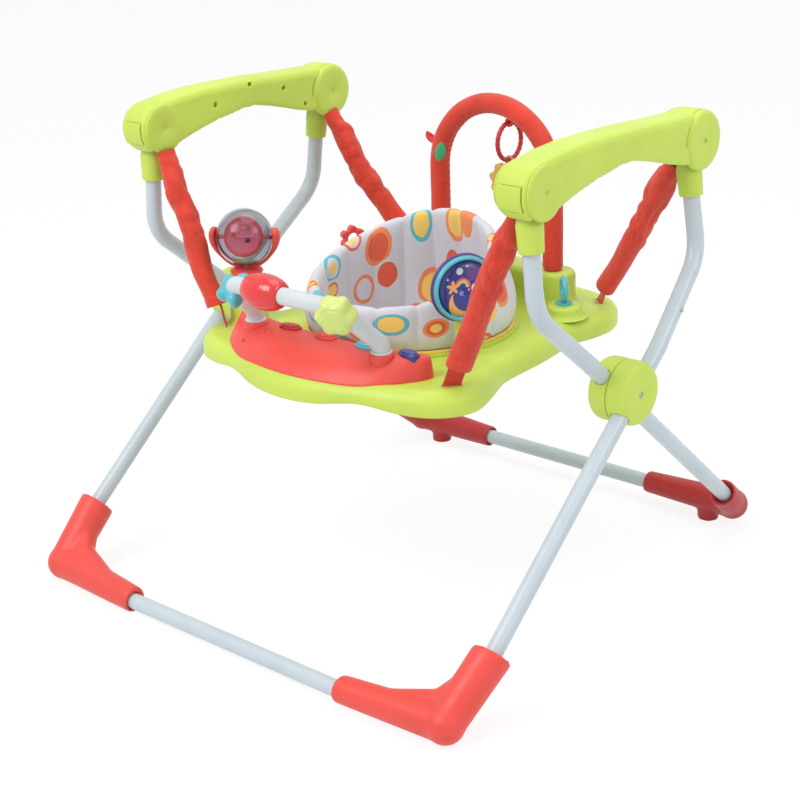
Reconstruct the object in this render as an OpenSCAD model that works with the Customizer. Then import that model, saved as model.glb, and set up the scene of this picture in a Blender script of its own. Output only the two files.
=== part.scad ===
// Baby jumper: a folding cross frame, two hand rails and a play tray hung on four springs.
// Millimetres, +Z up, floor at z = 0, +Y to the back, origin under the middle of the footprint.
// Shapes are drawn about the hub's plane and moved to the origin by in_place().

/* [Tubes] */
// Outside diameter of the frame tubes
tube_d = 25; // [22:0.5:26]
// Wall of the frame tubes
tube_wall = 1.5; // [1:0.1:2.5]
// Bend radius of the upper tubes, to the centre line
tube_bend_r = 70; // [50:1:90]

/* [Fits] */
// Gap between parts that plug into each other
fit_gap = 0.15; // [0.05:0.05:0.3]
// Gap between parts that move past each other
run_gap = 0.4; // [0.3:0.05:0.6]
// Radial clearance of a turning pin
pin_gap = 0.05; // [0.02:0.01:0.09]

/* [Cross frame] */
// Height of the hub axis
hub_z = 373; // [350:1:400]
// Height of the bends in the upper tubes
bend_z = 530; // [510:1:550]
// Height of the hand rails' pivot pins
pin_z = 700; // [680:1:730]
// Distance from the hub to the front base bar
front_reach = 426; // [400:1:450]
// Distance from the hub to the rear base bar
rear_reach = 405; // [380:1:430]
// Height of the rear base bar
rear_bar_z = 35; // [32:1:42]
// Half the distance between the front and rear posts
post_half_gap = 188; // [175:1:205]
// Front legs: distance from the middle at the foot
front_leg_x = 415; // [405:1:430]
// Front legs: distance from the middle at the hub
front_hub_x = 411; // [410:0.5:413]
// Rear upper tubes: distance from the middle at the bend
rear_bend_x = 393; // [385:1:400]
// Rear legs: distance from the middle at the foot
rear_leg_x = 351; // [345:1:358]
// Rear legs: distance from the middle at the hub
rear_hub_x = 378; // [376:0.5:379]
// Front upper tubes: distance from the middle at the bend
front_bend_x = 381; // [376:1:386]

/* [Feet] */
// Radius of a front boot where the base bar enters; it lies on the floor
boot_mouth_r = 20; // [19:0.5:22]
// Radius of a front boot at its corner
boot_corner_r = 28; // [27.5:0.5:30]
// Radius of a front boot where the leg enters
boot_leg_r = 29; // [26:0.5:32]
// Length of a front boot along the base bar
boot_bar_len = 198; // [150:1:220]
// Length of a front boot up the leg
boot_leg_len = 126; // [110:1:136]
// Radius of a rear foot where the base bar enters
heel_mouth_r = 18.5; // [16:0.5:20]
// Radius of a rear foot at its heel
heel_r = 26; // [25:0.5:29]
// Length of a rear foot along the base bar
heel_bar_len = 178; // [150:1:195]
// Length of a rear foot up the leg
heel_leg_len = 74; // [60:1:90]
// Radius of a rear foot where the leg enters
heel_leg_r = 22.5; // [19:0.5:24]
// Radius of the round pad under a rear foot
pad_r = 18; // [14:0.5:20]

/* [Hubs] */
// Radius of the hubs
hub_r = 47; // [42:0.5:50]
// Plane between the two halves of a hub
hub_split_x = 394; // [393.5:0.1:394.5]
// Outer face of a hub
hub_outer_x = 427; // [426:0.5:432]
// Inner face of a hub
hub_inner_x = 360; // [355:0.5:361]
// Radius of the pivot bolts
hub_bolt_r = 4; // [3:0.25:5]

/* [Hand rails] */
// Distance of the hand rails from the middle
rail_x = 368; // [366:0.5:370]
// Width of a hand rail
rail_w = 62; // [58:0.5:66]
// Radius of a hand rail's round ends
rail_end_r = 41; // [38:0.5:44]
// Wall of a hand rail
rail_wall = 3.5; // [2.5:0.1:4]
// Radius of the pivot pins
pin_r = 4; // [3:0.25:5]
// Width of the release buttons
button_w = 40; // [30:1:44]
// Height of the release buttons
button_h = 36; // [26:1:40]

/* [Knuckles] */
// Radius of the knuckle heads
head_r = 16; // [13:0.5:18]
// Width of the knuckle heads
head_w = 36; // [32:0.5:38]
// Radius of the collars on the posts
collar_r = 19; // [16.5:0.5:20]
// Length of the collars
collar_len = 38; // [30:1:46]
// Distance from a pivot pin down to its collar
collar_drop = 46; // [42:0.5:50]

/* [Suspension] */
// Front strap slot: distance from the middle
front_slot_x = 224; // [218:1:228]
// Front strap slot: distance in front of the hub
front_slot_y = 190; // [184:1:196]
// Rear strap slot: distance from the middle
rear_slot_x = 171; // [165:1:175]
// Rear strap slot: distance behind the hub
rear_slot_y = 257; // [252:1:261]
// Radius of the gathered upper part of a spring sleeve
sleeve_r = 18; // [16:0.25:18.5]
// Radius of the lower part of a spring sleeve
sleeve_low_r = 20.5; // [18:0.25:21]
// Mean radius of the bounce springs
spring_r = 7.6; // [6.5:0.1:7.8]
// Radius of the spring wire
spring_wire_r = 1.2; // [0.9:0.1:1.3]
// Width of the webbing straps
strap_w = 24; // [18:0.5:28]
// Thickness of the webbing straps
strap_t = 1.8; // [1.2:0.1:2.4]

/* [Tray] */
// Height of the tray's top
tray_top_z = 400; // [390:1:410]
// Depth of the tray's skirt
tray_skirt = 38; // [30:1:44]
// Half width of the tray
tray_half_w = 260; // [255:1:268]
// Distance from the hub to the tray's back edge
tray_back = 318; // [312:1:326]
// Wall of the tray
tray_wall = 3; // [2.5:0.1:4]
// Height of the deck that carries the toy arch
deck_h = 55; // [40:1:65]
// Height of the globe's pedestal
pedestal_h = 78; // [60:1:90]

/* [Seat] */
// Radius of the seat opening in the tray
seat_hole_r = 152; // [148:0.5:155]
// Distance of the seat's centre in front of the hub
seat_y = 8; // [4:0.5:12]
// Outer radius of the seat ring
seat_ring_r = 168; // [164:0.5:170]
// Height of the padded seat's front edge above the tray
seat_front_h = 72; // [60:1:85]
// Height of the padded seat's back above the tray
seat_back_h = 156; // [140:1:165]
// Depth of the seat below the tray's top
seat_depth = 108; // [90:1:120]
// Thickness of the seat's padding
seat_pad_t = 13; // [10:0.5:16]

/* [Console] */
// Half width of the console
console_half_w = 188; // [180:1:192]
// Half depth of the console
console_half_d = 40; // [36:0.5:42]
// Distance of the console's middle in front of the hub
console_y = 226; // [223:1:229]
// Height of the console
console_h = 32; // [28:0.5:38]
// Travel of the keys
key_travel = 3; // [2:0.25:4]

/* [Toy bar] */
// Diameter of the toy bar
bar_d = 26; // [23:0.5:26.5]
// Distance of the bar's feet from the middle
bar_foot_x = 128; // [120:1:134]
// Distance of the bar's corners from the middle
bar_top_x = 106; // [95:1:112]
// How far the bar leans to the front
bar_lean = 63; // [50:1:70]
// Height of the bar above the tray
bar_rise = 113; // [100:1:120]
// Length of the oval bead
bead_len = 72; // [62:1:74]
// Diameter of the oval bead
bead_d = 54; // [48:0.5:58]

/* [Toys] */
// Radius of the clear globe
globe_r = 45; // [42:0.5:47]
// Height of the globe's centre above its pedestal
globe_rise = 57; // [52:0.5:62]
// Radius of the spinning disc
disc_r = 49; // [44:0.5:52]
// Height of the disc's centre above the tray
disc_rise = 110; // [95:1:120]
// Height of the flower toy's centre above the tray
flower_rise = 88; // [75:1:95]
// Radius of the standing ring, to the middle of its bar
ring_r = 16; // [14:0.5:18]

/* [Arch] */
// Half width of the toy arch
arch_half_w = 115; // [108:1:120]
// Distance of the arch behind the hub
arch_y = 207; // [203:1:211]
// Radius of the padded arch
arch_pad_r = 16.5; // [14:0.5:18]
// Height of the arch's straight legs
arch_leg_h = 139; // [120:1:150]
// Radius of the ring link, to the middle of its bar
link_r = 30; // [26:0.5:32]

/* [Hidden] */
$fn = 64;

lime = [0.78, 0.87, 0.33];
coral = [0.88, 0.27, 0.22];
paint = [0.82, 0.87, 0.90];
steel = [0.70, 0.72, 0.75];
teal = [0.35, 0.75, 0.78];
navy = [0.14, 0.16, 0.45];
white = [0.93, 0.93, 0.94];

// One overrun for every cut
overrun = 1;
eps = 0.01;
// Lap of a bend over the straights beside it, and its extra radius there
bend_lap = 2;
bend_swell = 0.25;

// A boot's mouth stands a little higher than the bar in it, and its sole is cut flat
boot_rise = 2;
sole_cut = 1;
// Frame: derived places, with y counted from the hub
front_bar_z = boot_mouth_r - boot_rise - sole_cut;
hub_y = (front_reach + boot_mouth_r - rear_reach - heel_r) / 2;
a_foot = [front_leg_x, -front_reach, front_bar_z];
a_hub = [front_hub_x, 0, hub_z];
a_bend = [rear_bend_x, post_half_gap, bend_z];
a_pin = [rail_x, post_half_gap, pin_z];
b_foot = [rear_leg_x, rear_reach, rear_bar_z];
b_hub = [rear_hub_x, 0, hub_z];
b_bend = [front_bend_x, -post_half_gap, bend_z];
b_pin = [rail_x, -post_half_gap, pin_z];
a_dir = unit(a_hub - a_foot);
b_dir = unit(b_hub - b_foot);
a_post = unit(a_pin - a_bend);
b_post = unit(b_pin - b_bend);
// Where the tubes' lengths plug together, from the hub
a_joint = 124;
b_joint = 56;
kink = 34;
spigot_len = 40;
spigot_lap = 20;
spigot_wall = 1.2;
boot_plug = 40;
heel_plug = 27;
scoop = 12;
mouth_lap = 6;
// Middle of a boot's and a heel's rounded corner, from where bar and leg would meet
boot_shift = [-14, 10, 9];
heel_shift = [-10, 0, 3];
// Web in a boot's inner corner: its ball, and where it runs out along bar and leg
web_in = 38;
web_r = 20;
web_bar_len = 150;
web_bar_r = 16;
web_leg_len = 96;
web_leg_r = 20;
pad_in = 56;
// Outline of a hub half: share of the radius, share of the width
hub_shares = [[0, 0], [1, 0], [1, 0.58], [0.985, 0.74], [0.935, 0.88], [0.85, 0.97], [0.74, 1], [0, 1]];
neck_share = 0.94;
tube_top_gap = 3;
snap_r = 3.2;
snap_h = 1.6;
snap_share = 0.6;
a_kink = a_hub + a_dir * (hub_r + kink);
a_up = unit(a_bend - a_kink);
a_seam = a_kink + a_up * (a_joint - hub_r - kink);
snap_place = a_seam + a_up * (spigot_len * snap_share);

// Hand rails: outline points as shares of post_half_gap and rail_end_r, from the pins' height
rail_top_shares = [[1, 1], [0.53, 1.07], [0, 1.17], [-0.53, 1.2], [-0.8, 1.12], [-1, 1]];
rail_low_shares = [[-0.85, -0.78], [-0.6, -0.37], [-0.37, -0.05], [-0.1, 0.1], [0.05, 0.06],
  [0.27, -0.22], [0.56, -0.61], [0.75, -0.8], [0.88, -0.83]];
rail_screw_shares = [[-0.415, 0.5], [0, 0.95], [0.4, 0.53], [0.66, -0.3]];
// Rounding of a rail's sides: inset as a share of rail_end_r, step as a share of the half width
rail_edge_shares = [[0, 0.645], [0.025, 0.13], [0.06, 0.084], [0.11, 0.058], [0.17, 0.045], [0.244, 0.038]];
rail_edges = [for (e = rail_edge_shares) [e[0] * rail_end_r, e[1] * rail_w / 2]];
cap_rise = 1.2;
cap_share = 0.93;
rail_mouth = 60;
rail_back_drop = 10;
boss_r = 9;
screw_boss_r = 5.5;
screw_r = 2;
screw_head_r = 3.6;
screw_head_h = 2.5;
screw_sink = 17;
screw_len = 16;
cap_recess_r = 4.2;
cap_recess = 1.5;
button_drop = 14;
button_t = 11;
hook_mouth_share = 0.55;
neck_r = 12;

// Suspension: derived places
stud_r = 3.6;
stud_drop = 22;
stud_len = 6.2;
eye_r = 5.4;
low_eye_r = 6.6;
sleeve_drop = 45;
sleeve_in = 36;
sleeve_end_share = 0.87;
sleeve_gather_share = 0.56;
sleeve_gathers = 9;
sleeve_gather_depth = 2.4;
sleeve_hem_share = 0.97;
sleeve_flare = 2;
sleeve_bore_r = spring_r + spring_wire_r + run_gap;
spring_turns = 11;
spring_coil_share = 0.44;
spring_stem = 14;
rings_per_turn = 8;
wire_sides = 6;
strap_tip_w = 5;
strap_loop_r = 3.5;
strap_bore_r = 2.1;
strap_tail = 12;
strap_anchor = [26, 6, 5];
top_front = [rail_x - sleeve_in, -post_half_gap, pin_z - sleeve_drop];
top_rear = [rail_x - sleeve_in, post_half_gap, pin_z - sleeve_drop];
slot_front = [front_slot_x, -front_slot_y, tray_top_z];
slot_rear = [rear_slot_x, rear_slot_y, tray_top_z];

// Tray: half outline from the front middle round the right side, as shares of half width and back
tray_shares = [[0, -0.862], [0.27, -0.836], [0.5, -0.775], [0.71, -0.75], [0.877, -0.704],
  [0.973, -0.616], [1, -0.52], [0.95, -0.37], [0.873, -0.195], [0.846, 0], [0.835, 0.14],
  [0.8, 0.33], [0.785, 0.456], [0.82, 0.6], [0.81, 0.755], [0.69, 0.92], [0.45, 0.99], [0.2, 1], [0, 1]];
// Rounding of an edge: inset and height below the top of each step, as shares of its radius
round_shares = [[0, 0.9], [0.08, 0.6], [0.2, 0.4], [0.38, 0.22], [0.62, 0.08], [1, 0]];
tray_round = 15;
tray_steps = [for (e = round_shares) e * tray_round];
curve_steps = 2;
tray_lip = 8;
deck_half_w = 148;
deck_corner_r = 30;
deck_y = 214;
pedestal_r = 30;
pedestal_top_r = 25;
globe_x = 222;
globe_y = 142;
ring_x = 168;
ring_y = 165;
ring_boss_r = 28;
ring_boss_h = 18;

// Seat
seat_flange_t = 3.5;
seat_barrel_t = 4;
seat_snap = 3;
seat_snap_h = 5;
seat_sections = 64;
seat_channels = 16;
seat_channel = 3;
seat_back_in = 26;
leg_hole_r = 46;
leg_hole_x = 62;
leg_hole_y = 40;
leg_hole_tilt = 28;
seat_top = tray_top_z + run_gap + seat_flange_t;

// Console: half outline from the front middle, as shares of half width and half depth
console_shares = [[0, -0.95], [0.37, -0.8], [0.66, -0.42], [0.87, 0], [0.98, 0.45], [1, 0.9], [0.92, 1.2],
  [0.63, 1.12], [0.32, 0.97], [0, 0.92]];
console_round = 11;
console_steps = [for (e = round_shares) e * console_round];
console_wall = 4;
speaker_x = 66;
speaker_y = 240;
speaker_r = 10;
speaker_hole_r = 1.6;
speaker_holes = 6;
speaker_depth = 4;
key_len = 46;
key_w = 22;
key_rise = 6;
key_seat = 7;
key_places = [[-68, 203], [8, 206], [84, 203], [158, 192]];
key_turns = [8, 2, -3, -8];
key_floor = 2;

// Toy bar
bar_bend_r = 20;
bar_sink = 12;
bar_stub = 12;
socket_wall = 4.5;
socket_h = 5;
bar_foot_y = 217;
corner_piece_r = 28;
corner_piece_t = 33;
corner_lobes = 6;
lobe_ring_share = 0.68;
lobe_share = 0.38;
star_points = 5;
star_share = 0.66;
bead_x = 38;
bar_socket_r = bar_d / 2 + socket_wall;
bar_foot_z = tray_top_z + console_h;
bar_top_z = tray_top_z + bar_rise;
bar_end = [bar_foot_x, -bar_foot_y, bar_foot_z - bar_sink];
bar_corner = [bar_top_x, -bar_foot_y - bar_lean, bar_top_z];

// Toys
globe_wall = 2;
fork_t = 6;
fork_r = 5;
fork_share = 0.9;
fork_base_r = 22;
fork_pin_r = 3;
globe_grip = 4;
core_rod_r = 2.6;
core_end_r = 6.2;
core_cup_r = 24;
core_cup_h = 18;
core_bead_r = 6;
core_beads = 5;
disc_x = 178;
disc_y = 91;
disc_t = 9;
disc_rim = 6;
disc_rim_t = 12;
stand_r = 7;
stand_base_r = 10;
stand_base_h = 6;
stand_back = 13;
stand_pin_r = 3.5;
flower_x = 196;
flower_y = 75;
flower_r = 15;
flower_lobe_r = 7;
flower_lobes = 6;
flower_hole_r = 10;
flower_t = 12;
stalk_r = 5;
ring_bar_r = 4.5;
ring_base_r = 13;
ring_base_h = 4;
ring_stem_h = 5;

// Arch
arch_spigot_r = 10;
arch_spigot_h = 20;
arch_z = tray_top_z + deck_h;
arch_bow_z = arch_z + arch_leg_h;
eyelet_wall = 3;
eyelet_w = 5;
eyelet_sink = 2;
link_bar_r = 4;
link_x = 30;
toy_eye_wall = 2.6;
toy_eye_lap = 1.8;
toy_r = 25;
toy_t = 12;
toy_lobes = 8;
toy_lobe_r = 7;
toy_lobe_share = 0.75;
leaf_w = 16;
leaf_t = 3;
leaf_lift = 12;

// Vectors and curves

function unit(v) = v / norm(v);

function turn_at(pts, i) =
  acos(min(1, unit(pts[i] - pts[i - 1]) * unit(pts[i + 1] - pts[i])));

function tangent_len(pts, i, r) = r * tan(turn_at(pts, i) / 2);

function spline(p0, p1, p2, p3, t) =
  (2 * p1 + (p2 - p0) * t + (2 * p0 - 5 * p1 + 4 * p2 - p3) * t * t
    + (3 * p1 - p0 - 3 * p2 + p3) * t * t * t) / 2;

function closed_curve(pts, steps) = [
  for (i = [0 : len(pts) - 1]) for (j = [0 : steps - 1])
    let (n = len(pts))
      spline(pts[(i + n - 1) % n], pts[i], pts[(i + 1) % n], pts[(i + 2) % n], j / steps)
];

// Moves each point of a counter-clockwise curve inwards
function inset_curve(c, d) = [
  for (i = [0 : len(c) - 1])
    let (n = len(c), t = unit(c[(i + 1) % n] - c[(i + n - 1) % n])) c[i] + d * [-t[1], t[0]]
];

// A half outline in shares, scaled and mirrored to a closed one
function both_sides(shares, w, d, y) = concat(
  [for (s = shares) [w * s[0], y + d * s[1]]],
  [for (i = [len(shares) - 2 : -1 : 1]) [-w * shares[i][0], y + d * shares[i][1]]]
);

// Unit normals carried along a path without twist
function path_tangents(p) = [
  for (i = [0 : len(p) - 1]) unit(p[min(i + 1, len(p) - 1)] - p[max(i - 1, 0)])
];

function path_normals(t, first) = [
  for (i = 0, n = unit(first - (first * t[0]) * t[0]); i < len(t);
    i = i + 1, n = i < len(t) ? unit(n - (n * t[i]) * t[i]) : n) n
];

module in_place() translate([0, hub_y, 0]) children();

module sided(side) mirror([side < 0 ? 1 : 0, 0, 0]) children();

// Stands the children's +Z along p to q
module along(p, q) {
  v = q - p;
  translate(p) rotate([0, acos(v[2] / norm(v)), atan2(v[1], v[0])]) children();
}

module rod(p, q, d) along(p, q) cylinder(d = d, h = norm(q - p));

module taper(p, q, r1, r2) along(p, q) cylinder(r1 = r1, r2 = r2, h = norm(q - p));

// A cylinder along X
module x_rod(p, r, w) translate(p) rotate([0, 90, 0]) cylinder(r = r, h = w, center = true);

module elbow(pts, i, d, r) {
  u = unit(pts[i] - pts[i - 1]);
  v = unit(pts[i + 1] - pts[i]);
  side = unit(v - (v * u) * u);
  c = pts[i] - u * tangent_len(pts, i, r) + side * r;
  w = cross(-side, u);
  lap = asin(bend_lap / r);
  multmatrix([[-side[0], u[0], w[0], c[0]], [-side[1], u[1], w[1], c[1]],
    [-side[2], u[2], w[2], c[2]], [0, 0, 0, 1]])
    rotate(-lap) rotate_extrude(angle = turn_at(pts, i) + 2 * lap)
      translate([r, 0]) circle(d = d + 2 * bend_swell);
}

// A round bar through points, bent to radius r at each inner one
module bent_rod(pts, d, r) {
  n = len(pts);
  for (i = [0 : n - 2]) {
    u = unit(pts[i + 1] - pts[i]);
    rod(i == 0 ? pts[0] : pts[i] + u * tangent_len(pts, i, r),
      i == n - 2 ? pts[n - 1] : pts[i + 1] - u * tangent_len(pts, i + 1, r), d);
  }
  for (i = [1 : n - 2]) elbow(pts, i, d, r);
}

// A tube swept along a path of many points
module wire(p, r, first) {
  t = path_tangents(p);
  n = path_normals(t, first);
  m = len(p);
  pts = [for (i = [0 : m - 1]) for (k = [0 : wire_sides - 1])
    p[i] + r * (cos(360 * k / wire_sides) * n[i] + sin(360 * k / wire_sides) * cross(t[i], n[i]))];
  walls = [for (i = [0 : m - 2]) for (k = [0 : wire_sides - 1])
    let (a = i * wire_sides + k, b = i * wire_sides + (k + 1) % wire_sides)
      each [[a, a + wire_sides, b], [b, a + wire_sides, b + wire_sides]]];
  ends = [for (k = [1 : wire_sides - 2])
    each [[0, k, k + 1], [(m - 1) * wire_sides, (m - 1) * wire_sides + k + 1, (m - 1) * wire_sides + k]]];
  polyhedron(pts, concat(walls, ends));
}

// A stack of inset slabs that rounds the top edge of an outline
module stepped(curve, low, top, steps)
  for (i = [0 : len(steps) - 1])
    translate([0, 0, i == 0 ? low : top - steps[i - 1][1] - eps])
      linear_extrude(top - steps[i][1] - (i == 0 ? low : top - steps[i - 1][1] - eps))
        polygon(inset_curve(curve, steps[i][0]));

// Cross frame: front U

// The leg runs through the hub to the seam above it, where it narrows to a spigot
module front_leg(side) {
  start = a_foot + a_dir * boot_plug;
  spigot_d = tube_d - 2 * tube_wall - 2 * fit_gap;
  color(paint) sided(side) in_place() difference() {
    union() {
      bent_rod([start, a_kink, a_seam], tube_d, tube_bend_r);
      rod(a_seam - a_up * spigot_lap, a_seam + a_up * spigot_len, spigot_d);
    }
    bent_rod([start - a_dir * overrun, a_kink, a_seam - a_up * spigot_lap],
      tube_d - 2 * tube_wall, tube_bend_r);
    rod(a_seam - a_up * (spigot_lap + overrun), a_seam + a_up * (spigot_len + overrun),
      spigot_d - 2 * spigot_wall);
    x_rod(a_hub, hub_bolt_r + pin_gap, tube_d + 2 * overrun);
    snap_hole();
  }
}

module snap_hole() x_rod(snap_place + [tube_d / 2, 0, 0], snap_r + fit_gap, tube_d / 2);

function a_path() = [a_seam, a_bend, a_pin - a_post * (collar_drop + tube_top_gap)];

function b_path() = [b_hub + b_dir * b_joint, b_hub + b_dir * (hub_r + kink), b_bend,
  b_pin - b_post * (collar_drop + tube_top_gap)];

// Lengthens a path at both ends for a cut
function longer(p) = [for (i = [0 : len(p) - 1])
  i == 0 ? p[0] - overrun * unit(p[1] - p[0])
    : i == len(p) - 1 ? p[i] + overrun * unit(p[i] - p[i - 1]) : p[i]];

module rear_upper_tube(side) color(paint) sided(side) in_place() difference() {
  bent_rod(a_path(), tube_d, tube_bend_r);
  bent_rod(longer(a_path()), tube_d - 2 * tube_wall, tube_bend_r);
  snap_hole();
}

module base_bar(foot, plug) color(paint) in_place() {
  half = foot[0] - plug;
  difference() {
    x_rod([0, foot[1], foot[2]], tube_d / 2, 2 * half);
    x_rod([0, foot[1], foot[2]], tube_d / 2 - tube_wall, 2 * half + 2 * overrun);
  }
}

module front_base_bar() base_bar(a_foot, boot_plug);

module floor_cut() {
  reach = 2 * front_reach;
  translate([-reach / 2, -reach, -reach]) cube([2 * reach, 2 * reach, reach]);
}

// Sockets of a foot for the base bar and the leg, with square, scooped mouths
module foot_sockets(corner, dir, plug, bar_len, leg_len, bar_r, leg_r) {
  socket_r = tube_d / 2 + fit_gap;
  bar = [-1, 0, 0];
  rod(corner + bar * plug, corner + bar * (bar_len + overrun), 2 * socket_r);
  rod(corner + dir * plug, corner + dir * (leg_len + overrun), 2 * socket_r);
  rod(corner + bar * bar_len, corner + bar * (bar_len + 2 * mouth_lap), 4 * bar_r);
  rod(corner + dir * leg_len, corner + dir * (leg_len + 2 * mouth_lap), 4 * leg_r);
  taper(corner + bar * (bar_len - scoop / 2), corner + bar * (bar_len + eps), socket_r, bar_r - tube_wall);
  taper(corner + dir * (leg_len - scoop), corner + dir * (leg_len + eps), socket_r, leg_r - 2 * tube_wall);
}

module front_foot(side) color(coral) sided(side) in_place() difference() {
  corner = a_foot + boot_shift;
  web = a_foot + [-web_in, 0, 0] + a_dir * web_in;
  union() {
    translate(corner) sphere(boot_corner_r);
    taper(corner, a_foot + [-boot_bar_len - mouth_lap, 0, boot_rise], boot_corner_r * neck_share, boot_mouth_r);
    taper(corner, a_foot + a_dir * (boot_leg_len + mouth_lap), boot_corner_r * neck_share, boot_leg_r);
    translate(web) sphere(web_r);
    taper(web, a_foot + [-web_bar_len, 0, boot_rise], web_r * neck_share, web_bar_r);
    taper(web, a_foot + a_dir * web_leg_len, web_r * neck_share, web_leg_r);
  }
  floor_cut();
  foot_sockets(a_foot, a_dir, boot_plug, boot_bar_len, boot_leg_len, front_bar_z, boot_leg_r);
}

// Collar and neck of a knuckle, along its post
module knuckle_stem(pin, post) {
  bore_r = tube_d / 2 + fit_gap;
  low = collar_drop + collar_len;
  along(pin, pin - post * low) rotate_extrude() polygon([
    [0, 0], [neck_r, 0], [neck_r, head_r], [collar_r, collar_drop], [collar_r - tube_wall, low],
    [bore_r, low], [bore_r, collar_drop + tube_top_gap], [0, collar_drop + tube_top_gap]]);
}

module rear_knuckle(side) color(lime) sided(side) in_place() difference() {
  union() {
    x_rod(a_pin, head_r, head_w);
    knuckle_stem(a_pin, a_post);
  }
  x_rod(a_pin, pin_r + pin_gap, head_w + 2 * overrun);
}

// The outer half of a hub: dished face, bore for the tube and hole for the bolt
module hub_shell(low, high, through, dir) difference() {
  along([low, 0, hub_z], [high, 0, hub_z])
    rotate_extrude() polygon([for (s = hub_shares) [s[0] * hub_r, s[1] * abs(high - low)]]);
  rod(through - dir * 2 * hub_r, through + dir * 2 * hub_r, tube_d + 2 * fit_gap);
  x_rod(through, hub_bolt_r + pin_gap, 4 * hub_r);
}

module hub_outer_shell(side) color(lime) sided(side) in_place() difference() {
  hub_shell(hub_split_x + run_gap / 2, hub_outer_x, a_hub, a_dir);
  translate([hub_outer_x + hub_r * 2, 0, hub_z]) sphere(hub_r * 2 + hub_bolt_r / 2);
}

module hub_inner_shell(side) color(lime) sided(side) in_place()
  hub_shell(hub_split_x - run_gap / 2, hub_inner_x, b_hub, b_dir);

module hub_bolts() color(steel) in_place() for (side = [-1, 1]) sided(side) {
  head_t = hub_bolt_r;
  inner = hub_inner_x - run_gap - head_t;
  outer = hub_outer_x - 3 * hub_bolt_r / 4;
  x_rod([(inner + outer) / 2, 0, hub_z], hub_bolt_r, outer - inner);
  x_rod([inner + head_t / 2, 0, hub_z], 2 * hub_bolt_r, head_t);
}

// Spring buttons that lock the leg lengths together
module snap_buttons() color(steel) in_place() for (side = [-1, 1]) sided(side) {
  long = tube_wall + fit_gap + spigot_wall + snap_h;
  x_rod(snap_place + [tube_d / 2 + snap_h - long / 2, 0, 0], snap_r, long);
}

// Cross frame: rear U

module rear_leg(side) {
  start = b_foot + b_dir * heel_plug;
  end = b_hub + b_dir * b_joint;
  color(paint) sided(side) in_place() difference() {
    rod(start, end, tube_d);
    rod(start - b_dir * overrun, end + b_dir * overrun, tube_d - 2 * tube_wall);
    x_rod(b_hub, hub_bolt_r + pin_gap, tube_d + 2 * overrun);
  }
}

module front_upper_tube(side) {
  spigot_d = tube_d - 2 * tube_wall - 2 * fit_gap;
  joint = b_hub + b_dir * b_joint;
  inner = joint - b_dir * (b_joint - hub_bolt_r * 3);
  color(paint) sided(side) in_place() difference() {
    union() {
      bent_rod(b_path(), tube_d, tube_bend_r);
      rod(inner, joint + b_dir * eps, spigot_d);
    }
    bent_rod(longer(b_path()), tube_d - 2 * tube_wall - 2 * spigot_wall, tube_bend_r);
    rod(inner - b_dir * overrun, joint, spigot_d - 2 * spigot_wall);
  }
}

module rear_base_bar() base_bar(b_foot, heel_plug);

module rear_foot(side) color(coral) sided(side) in_place() difference() {
  corner = b_foot + heel_shift;
  union() {
    translate(corner) sphere(heel_r);
    taper(corner, b_foot - [heel_bar_len + mouth_lap, 0, 0], heel_r * neck_share, heel_mouth_r);
    taper(corner, b_foot + b_dir * (heel_leg_len + mouth_lap), heel_r * neck_share, heel_leg_r);
    translate([rear_leg_x - pad_in, rear_reach, 0]) cylinder(r = pad_r, h = rear_bar_z);
  }
  foot_sockets(b_foot, b_dir, heel_plug, heel_bar_len, heel_leg_len, heel_mouth_r, heel_leg_r);
}

// An open hook that takes the rail's front pin from behind
module front_knuckle(side) color(lime) sided(side) in_place() difference() {
  slot_r = pin_r + run_gap;
  union() {
    x_rod(b_pin, head_r, head_w);
    knuckle_stem(b_pin, b_post);
  }
  x_rod(b_pin, slot_r, head_w + 2 * overrun);
  translate(b_pin) rotate([90, 0, 90]) translate([0, 0, -head_w / 2 - overrun])
    linear_extrude(head_w + 2 * overrun)
      polygon([[0, slot_r], [-2 * head_r, slot_r + 2 * head_r * hook_mouth_share], [-2 * head_r, -slot_r],
        [0, -slot_r]]);
}

// Hand rails

function rail_points(shares, shift) = [
  for (s = shares) [post_half_gap * s[0], pin_z + rail_end_r * s[1] + shift]
];

module rail_profile(inset) {
  for (y = [-post_half_gap, post_half_gap]) translate([y, pin_z]) circle(rail_end_r - inset);
  polygon(concat(rail_points(rail_top_shares, -inset), rail_points(rail_low_shares, inset)));
}

// Hollow of a rail: open below, from the front hook to behind the rear post
module rail_hollow(inset) {
  rail_profile(rail_wall + inset);
  polygon(concat(rail_points(rail_top_shares, -rail_wall - inset),
    [[-post_half_gap, pin_z - rail_mouth], [post_half_gap, pin_z - rail_mouth]]));
  translate([-post_half_gap - collar_r - rail_wall / 2, pin_z - rail_mouth])
    square([2 * post_half_gap, rail_mouth]);
  translate([0, pin_z - rail_mouth]) square([post_half_gap + rail_mouth, rail_mouth - rail_back_drop]);
}

// Extrudes a (y, z) profile along X from one plane to another
module slab(x0, x1) translate([min(x0, x1), 0, 0]) rotate([90, 0, 90])
  linear_extrude(abs(x1 - x0)) children();

function rail_edge_x(i) = i == 0 ? 0 : rail_edge_x(i - 1) + rail_edges[i - 1][1];

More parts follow.
